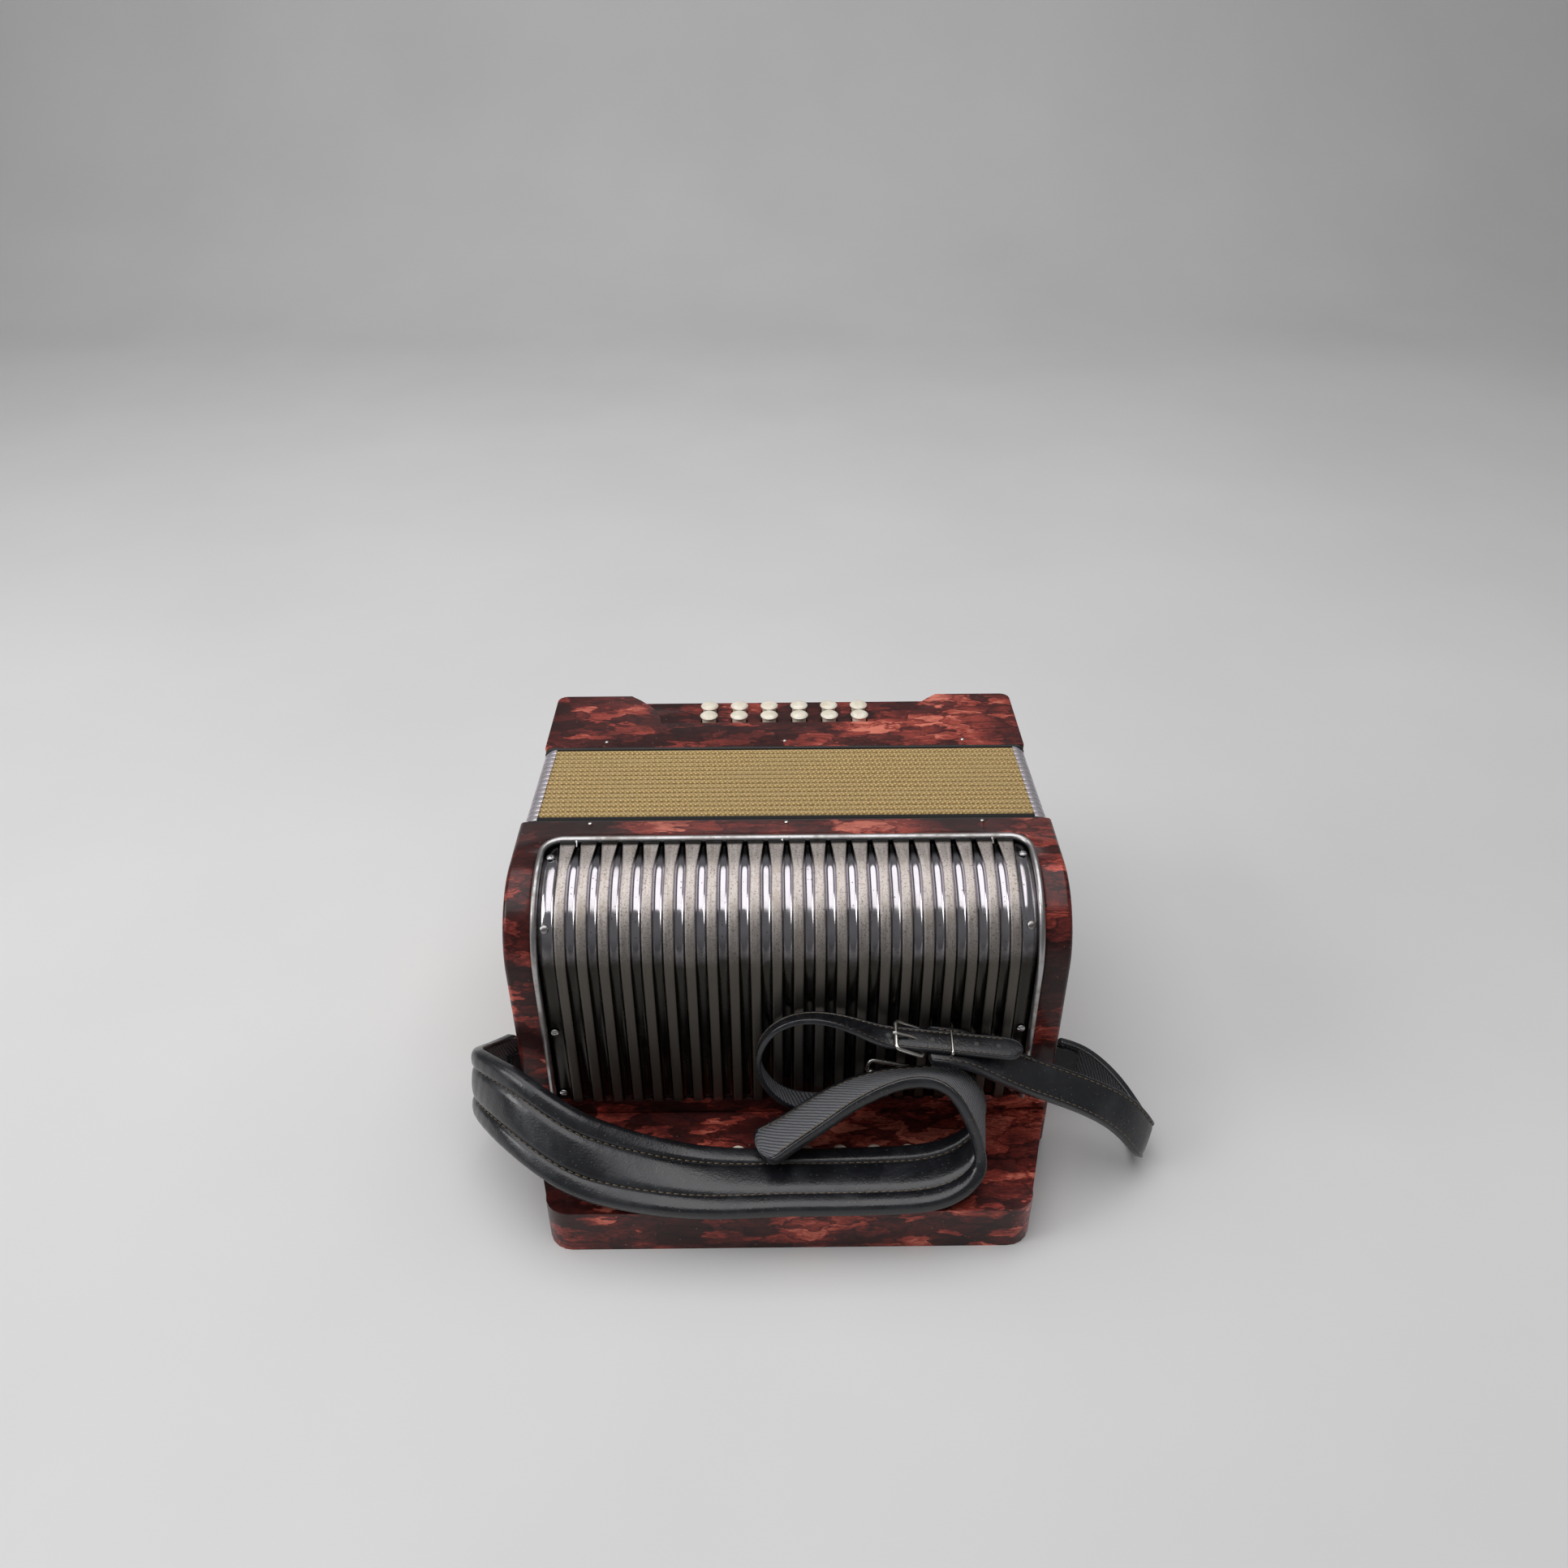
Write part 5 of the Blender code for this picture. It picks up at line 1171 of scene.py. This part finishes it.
seams = [(side * LEFT_SEAM, 0.0015, END_MARGIN, left_end) for side in (-1, 1)]
edges = [(side * LEFT_EDGE, -0.0029, folded, left_end) for side in (-1, 1)]
sewn("left_strap_stitching", left_lie, seams + edges)


# Right shoulder strap: a narrower end of the same leather, from its lug round the fingerboard and up to the
# buckle, slightly crowned, with a line of stitches along both edges. It turns its other side up on the way.
BELT_WIDTH, BELT_THICK = 0.014, 0.003
END_WIDTH, END_THICK = 0.024, 0.005
BUCKLE_LENGTH, WIRE = 0.016, 0.0012
buckle_place = from_middle(0.0665, -0.0172, 0.0715)
heading = Vector((0.989, 0.0, -0.148)).normalized()
lean_there = Vector((0.0, 0.95, 0.19))
across = (lean_there - heading * lean_there.dot(heading)).normalized()
up_there = heading.cross(across)


def at_buckle(along, above, sideways):
    """A place measured from the buckle's middle."""
    return buckle_place + heading * along + up_there * above + across * sideways


def edge_seams(share, height, first, last):
    """A line of stitches along both edges."""
    return [(side * share, height, first, last) for side in (-1, 1)]


under_belt = -(BELT_THICK / 2 + CLEAR + END_THICK / 2)
strap_end = BUCKLE_LENGTH / 2 + 2 * WIRE + CLEAR
route = [((TREBLE_HALF + LUG_REACH + CLEAR + END_THICK / 2, LUG_Y, BUTTON_TOP + 0.0058), UPRIGHT, 1.0)]
route += [(from_middle(x + TREBLE_HALF, y, z), lean, 1.0) for (x, y, z), lean in (
    ((0.0310, 0.0420, 0.0020), (0.0, 0.0, 1.0)),
    ((0.0480, 0.0260, -0.0060), (0.0, 0.1, 1.0)),
    ((0.0580, 0.0080, -0.0130), (0.2, 0.45, 0.87)),
    ((0.0620, -0.0080, -0.0108), (0.48, 0.8, 0.38)),
    ((0.0486, -0.0080, 0.0098), (0.56, 0.75, 0.35)),
    ((0.0280, -0.0080, 0.0244), (0.54, 0.8, 0.22)),
    ((0.0025, -0.0080, 0.0368), (0.45, 0.88, 0.14)),
    ((-0.0230, -0.0080, 0.0490), (0.3, 0.92, 0.15)),
)]
route += [(at_buckle(along, under_belt - sag, END_WIDTH / 2), lean_there, 1.0)
          for along, sag in ((0.036, 0.0015), (0.022, 0.0), (strap_end, 0.0))]
right_lie = stations_of(route, END_WIDTH, ROUTE_STEPS)
band_piece("right_strap_end", "right_shoulder_strap", right_lie,
           upside_down(lobes(0.80, edge=-0.0014, top=0.0025, dip=0.0007, steps=9)),
           upside_down(underside(level=-0.0025, depth=0.0004)))
sewn("right_strap_stitching", right_lie, edge_seams(0.80, -0.0020, END_MARGIN, right_lie[-1][3] - END_MARGIN))


# Strap belt: a narrow leather belt with a pointed tip and a row of punched holes, pulled through the buckle and
# round a wide loop that leans on the grille, to the ring.
BELT_TAIL = 0.064
HOLES, HOLE_PITCH, HOLE_RADIUS, FIRST_HOLE = 6, 0.0125, 0.0013, 0.014
route = [(at_buckle(along, 0.0, BELT_WIDTH / 2), lean_there, 1.0)
         for along in (BELT_TAIL, BELT_TAIL / 2, 0.0, -BUCKLE_LENGTH)]
route += [(from_middle(*place), lean, 1.0) for place, lean in (
    ((0.0300, -0.0075, 0.0800), (0.0, 0.95, -0.3)),
    ((0.0080, -0.0060, 0.0810), (0.0, 0.9, -0.45)),
    ((-0.0100, -0.0065, 0.0715), (0.0, 0.9, -0.45)),
    ((-0.0180, -0.0070, 0.0520), (0.0, 0.95, -0.3)),
    ((-0.0120, -0.0070, 0.0310), (0.0, 0.98, -0.2)),
    ((0.0040, -0.0060, 0.0170), (0.0, 1.0, 0.0)),
    ((0.0260, -0.0055, 0.0160), (0.0, 1.0, 0.1)),
    ((0.0450, -0.0050, 0.0170), (0.5, 0.85, 0.0)),
    ((0.0624, -0.0080, 0.0310), (0.97, 0.0, -0.24)),
)]
belt_lie = stations_of(route, BELT_WIDTH, ROUTE_STEPS)
belt_lining = upside_down(underside(level=-0.0015, depth=0.0002))
band_piece("belt_strip", "strap_belt", belt_lie,
           upside_down(lobes(0.74, edge=-0.0006, top=0.0015, dip=0.0005, steps=8)), belt_lining, start_tip=0.009)
sewn("belt_stitching", belt_lie, edge_seams(0.74, -0.0011, 0.011, belt_lie[-1][3] - END_MARGIN),
     pitch=0.0034, length=0.0022, radius=0.00024)
# The holes are not cut: a dark felt disc at each hole's place on the belt's face is painted shade for the hole.
bm = bmesh.new()
for run in (FIRST_HOLE + k * HOLE_PITCH for k in range(HOLES)):
    bar(bm, *[on_band(belt_lie, run, 0.0, height) for height in (-0.0012, -0.00156)], HOLE_RADIUS, sides=18)
placed(new_piece("belt_holes", bm, felt, smooth=False), "treble_section")


# Buckle, keeper and ring: bent and soldered plated steel wire. The buckle's prong comes up through the belt and
# rests on its bar, and the ring carries a small knob.
def wire_loop(bm, centre, run, sideways, length, width, radius, corner):
    """A rectangle of round wire with rounded corners in the plane of two directions, drawn into the mesh."""
    line = []
    for u, v, first in ((1, 1, 0), (-1, 1, 90), (-1, -1, 180), (1, -1, 270)):
        for angle in (math.radians(first + 15 * i) for i in range(7)):
            line.append(centre + sideways * (u * (width / 2 - corner) + corner * math.cos(angle))
                        + run * (v * (length / 2 - corner) + corner * math.sin(angle)))
    sweep(bm, tube_rings(line, radius, 12, run.cross(sideways), closed=True), closed=True)


def fitting(name, bm, node=None):
    """A plated steel fitting of the straps."""
    faced_out(bm)
    placed(new_piece(name, bm, steel), "treble_section", node)


bm = bmesh.new()
clear = BELT_THICK / 2 + CLEAR + WIRE
tilted = (heading * BUCKLE_LENGTH / 2 - up_there * clear).normalized()
wire_loop(bm, buckle_place, tilted, across, length=math.hypot(BUCKLE_LENGTH, 2 * clear),
          width=BELT_WIDTH + 2 * WIRE + 4 * CLEAR, radius=WIRE, corner=2 * WIRE)
PRONG_RADIUS = 0.0009
prong = [at_buckle(along, above, 0.0) for along, above in (
    (0.0070, -0.0022), (0.0050, -0.0002), (0.0020, 0.0021),
    (-0.0030, 0.0034), (-0.0080, 0.0047), (-0.0100, 0.0044))]
sweep(bm, tube_rings(smooth_line(prong, 5), PRONG_RADIUS, 10, across))
fitting("buckle_and_prong", bm, "strap_buckle")

KEEPER_ALONG, KEEPER_WIRE = 0.0237, 0.0007
bm = bmesh.new()
wire_loop(bm, at_buckle(KEEPER_ALONG, 0.0, 0.0), up_there, across, length=BELT_THICK + 0.0012,
          width=BELT_WIDTH + 0.0016, radius=KEEPER_WIRE, corner=2 * KEEPER_WIRE)
fitting("belt_keeper", bm)

RING_LENGTH, RING_WIDTH, KNOB_RADIUS = 0.009, 0.024, 0.0019
ring_place = from_middle(0.057, -0.0080, 0.0385)
run = Vector((0.97, 0.0, -0.24)).normalized()
down = run.cross(Vector((0.0, 1.0, 0.0)))
bm = bmesh.new()
wire_loop(bm, ring_place, down, run, RING_LENGTH, RING_WIDTH, WIRE, 2 * WIRE)
knob = bmesh.ops.create_uvsphere(bm, u_segments=16, v_segments=10, radius=KNOB_RADIUS)["verts"]
bmesh.ops.translate(bm, vec=ring_place - run * 0.0088 - down * RING_LENGTH / 2, verts=knob)
fitting("ring_and_knob", bm, "strap_ring")


# Lug tabs: a leather loop round each lug's pin, both its tails sewn to the inside of the strap's end, with two
# rivets through strap and tails.
TAB_SHEET, TAB_HALF_SHEET, TAB_HALF, LOOP_RADIUS = 0.0013, 0.0006, 0.009, 0.0031
RIVET_RUN, RIVET_SHARE, RIVET_RADIUS = 0.0085, 0.22, 0.0020
for side, lie, outward, name in ((-1, left_lie, STRAP_THICK / 2, "left"), (1, right_lie, -END_THICK / 2, "right")):
    step = math.copysign(TAB_SHEET, outward)
    line = [on_band(lie, run, 0.0, -outward - step / 2) for run in (0.015, 0.010, 0.005)]
    for angle in (math.radians(22 * k) for k in range(11)):
        x = TREBLE_HALF + LUG_PIN_REACH + LOOP_RADIUS * math.cos(angle)
        line.append(Vector((side * x, LUG_Y + LOOP_RADIUS * math.sin(angle), LUG_Z)))
    line += [on_band(lie, run, 0.0, -outward - 1.5 * step) for run in (0.009, 0.014)]
    line = smooth_line(line, 4)
    rise_z = Vector((0, 0, TAB_HALF))
    rings = []
    for before, spot, after in zip(line[:1] + line, line, line[1:] + line[-1:]):
        out = (after - before).normalized().cross(Vector(UPRIGHT)) * TAB_HALF_SHEET
        rings.append([spot + out + rise_z, spot - out + rise_z, spot - out - rise_z, spot + out - rise_z])
    bm = bmesh.new()
    sweep(bm, rings)
    faced_out(bm)
    leather_faces = set(bm.faces)
    up = lie[3][2]
    for share in (-RIVET_SHARE, RIVET_SHARE):
        screw_head(bm, on_band(lie, RIVET_RUN, share, outward) - up * step * 0.2, up * outward, RIVET_RADIUS)
    for face in set(bm.faces) - leather_faces:
        face.material_index = 1
    placed(new_piece(f"lug_tab_{name}", bm, leather, steel, sharp=40), "treble_section")


# Bass hand strap: a stitched leather band bowed away from the bass end, where the left hand slips in. Each foot
# is held under a screwed steel plate.
BASS_END_Y, HAND_Z, HAND_HALF, FOOT, BOW = 0.1888, 0.078, 0.125, 0.022, 0.036
HAND_WIDTH, HAND_THICK = 0.058, 0.003
BOW_STEPS = 24
far_z = HAND_Z + HAND_WIDTH / 2
foot_y = BASS_END_Y + HAND_THICK / 2
route = [((-HAND_HALF, foot_y, far_z), UPRIGHT, 1.0)]
for t in (i / BOW_STEPS for i in range(BOW_STEPS + 1)):
    bowed = foot_y + BOW * math.sin(math.pi * t) ** 1.4
    route.append((((HAND_HALF - FOOT) * (2 * t - 1), bowed, far_z), UPRIGHT, 1.0))
route.append(((HAND_HALF, foot_y, far_z), UPRIGHT, 1.0))
hand_lie = stations_of(route, HAND_WIDTH, 5, passes=4)
band_piece("hand_strap_band", "bass_strap", hand_lie,
           upside_down(lobes(0.86, edge=-0.0006, top=0.0015, dip=0.0004, steps=8)), belt_lining,
           body="bass_section")
sewn("hand_strap_stitching", hand_lie, edge_seams(0.86, -0.0012, END_MARGIN, hand_lie[-1][3] - END_MARGIN),
     body="bass_section")

FOOT_PLATE, FOOT_PLATE_SUNK, FOOT_SCREW_RADIUS = 0.0010, 0.0002, 0.0030
foot_plate_half = Vector((0.007, 0.0, 0.026))
bm = bmesh.new()
for x in (0.009 - HAND_HALF, HAND_HALF - 0.009):
    foot_place = Vector((x, BASS_END_Y + HAND_THICK, HAND_Z))
    block(bm, foot_place - foot_plate_half - Vector((0, FOOT_PLATE_SUNK, 0)),
          foot_place + foot_plate_half + Vector((0, FOOT_PLATE, 0)), 0.0004)
    for z in (-0.018, 0.018):
        screw_place = foot_place + Vector((0, FOOT_PLATE, z))
        screw_head(bm, screw_place, (0, 1, 0), FOOT_SCREW_RADIUS, slot_turn=0.5 + z * 20)
faced_out(bm)
placed(new_piece("hand_strap_plates", bm, steel, sharp=40), "bass_section")
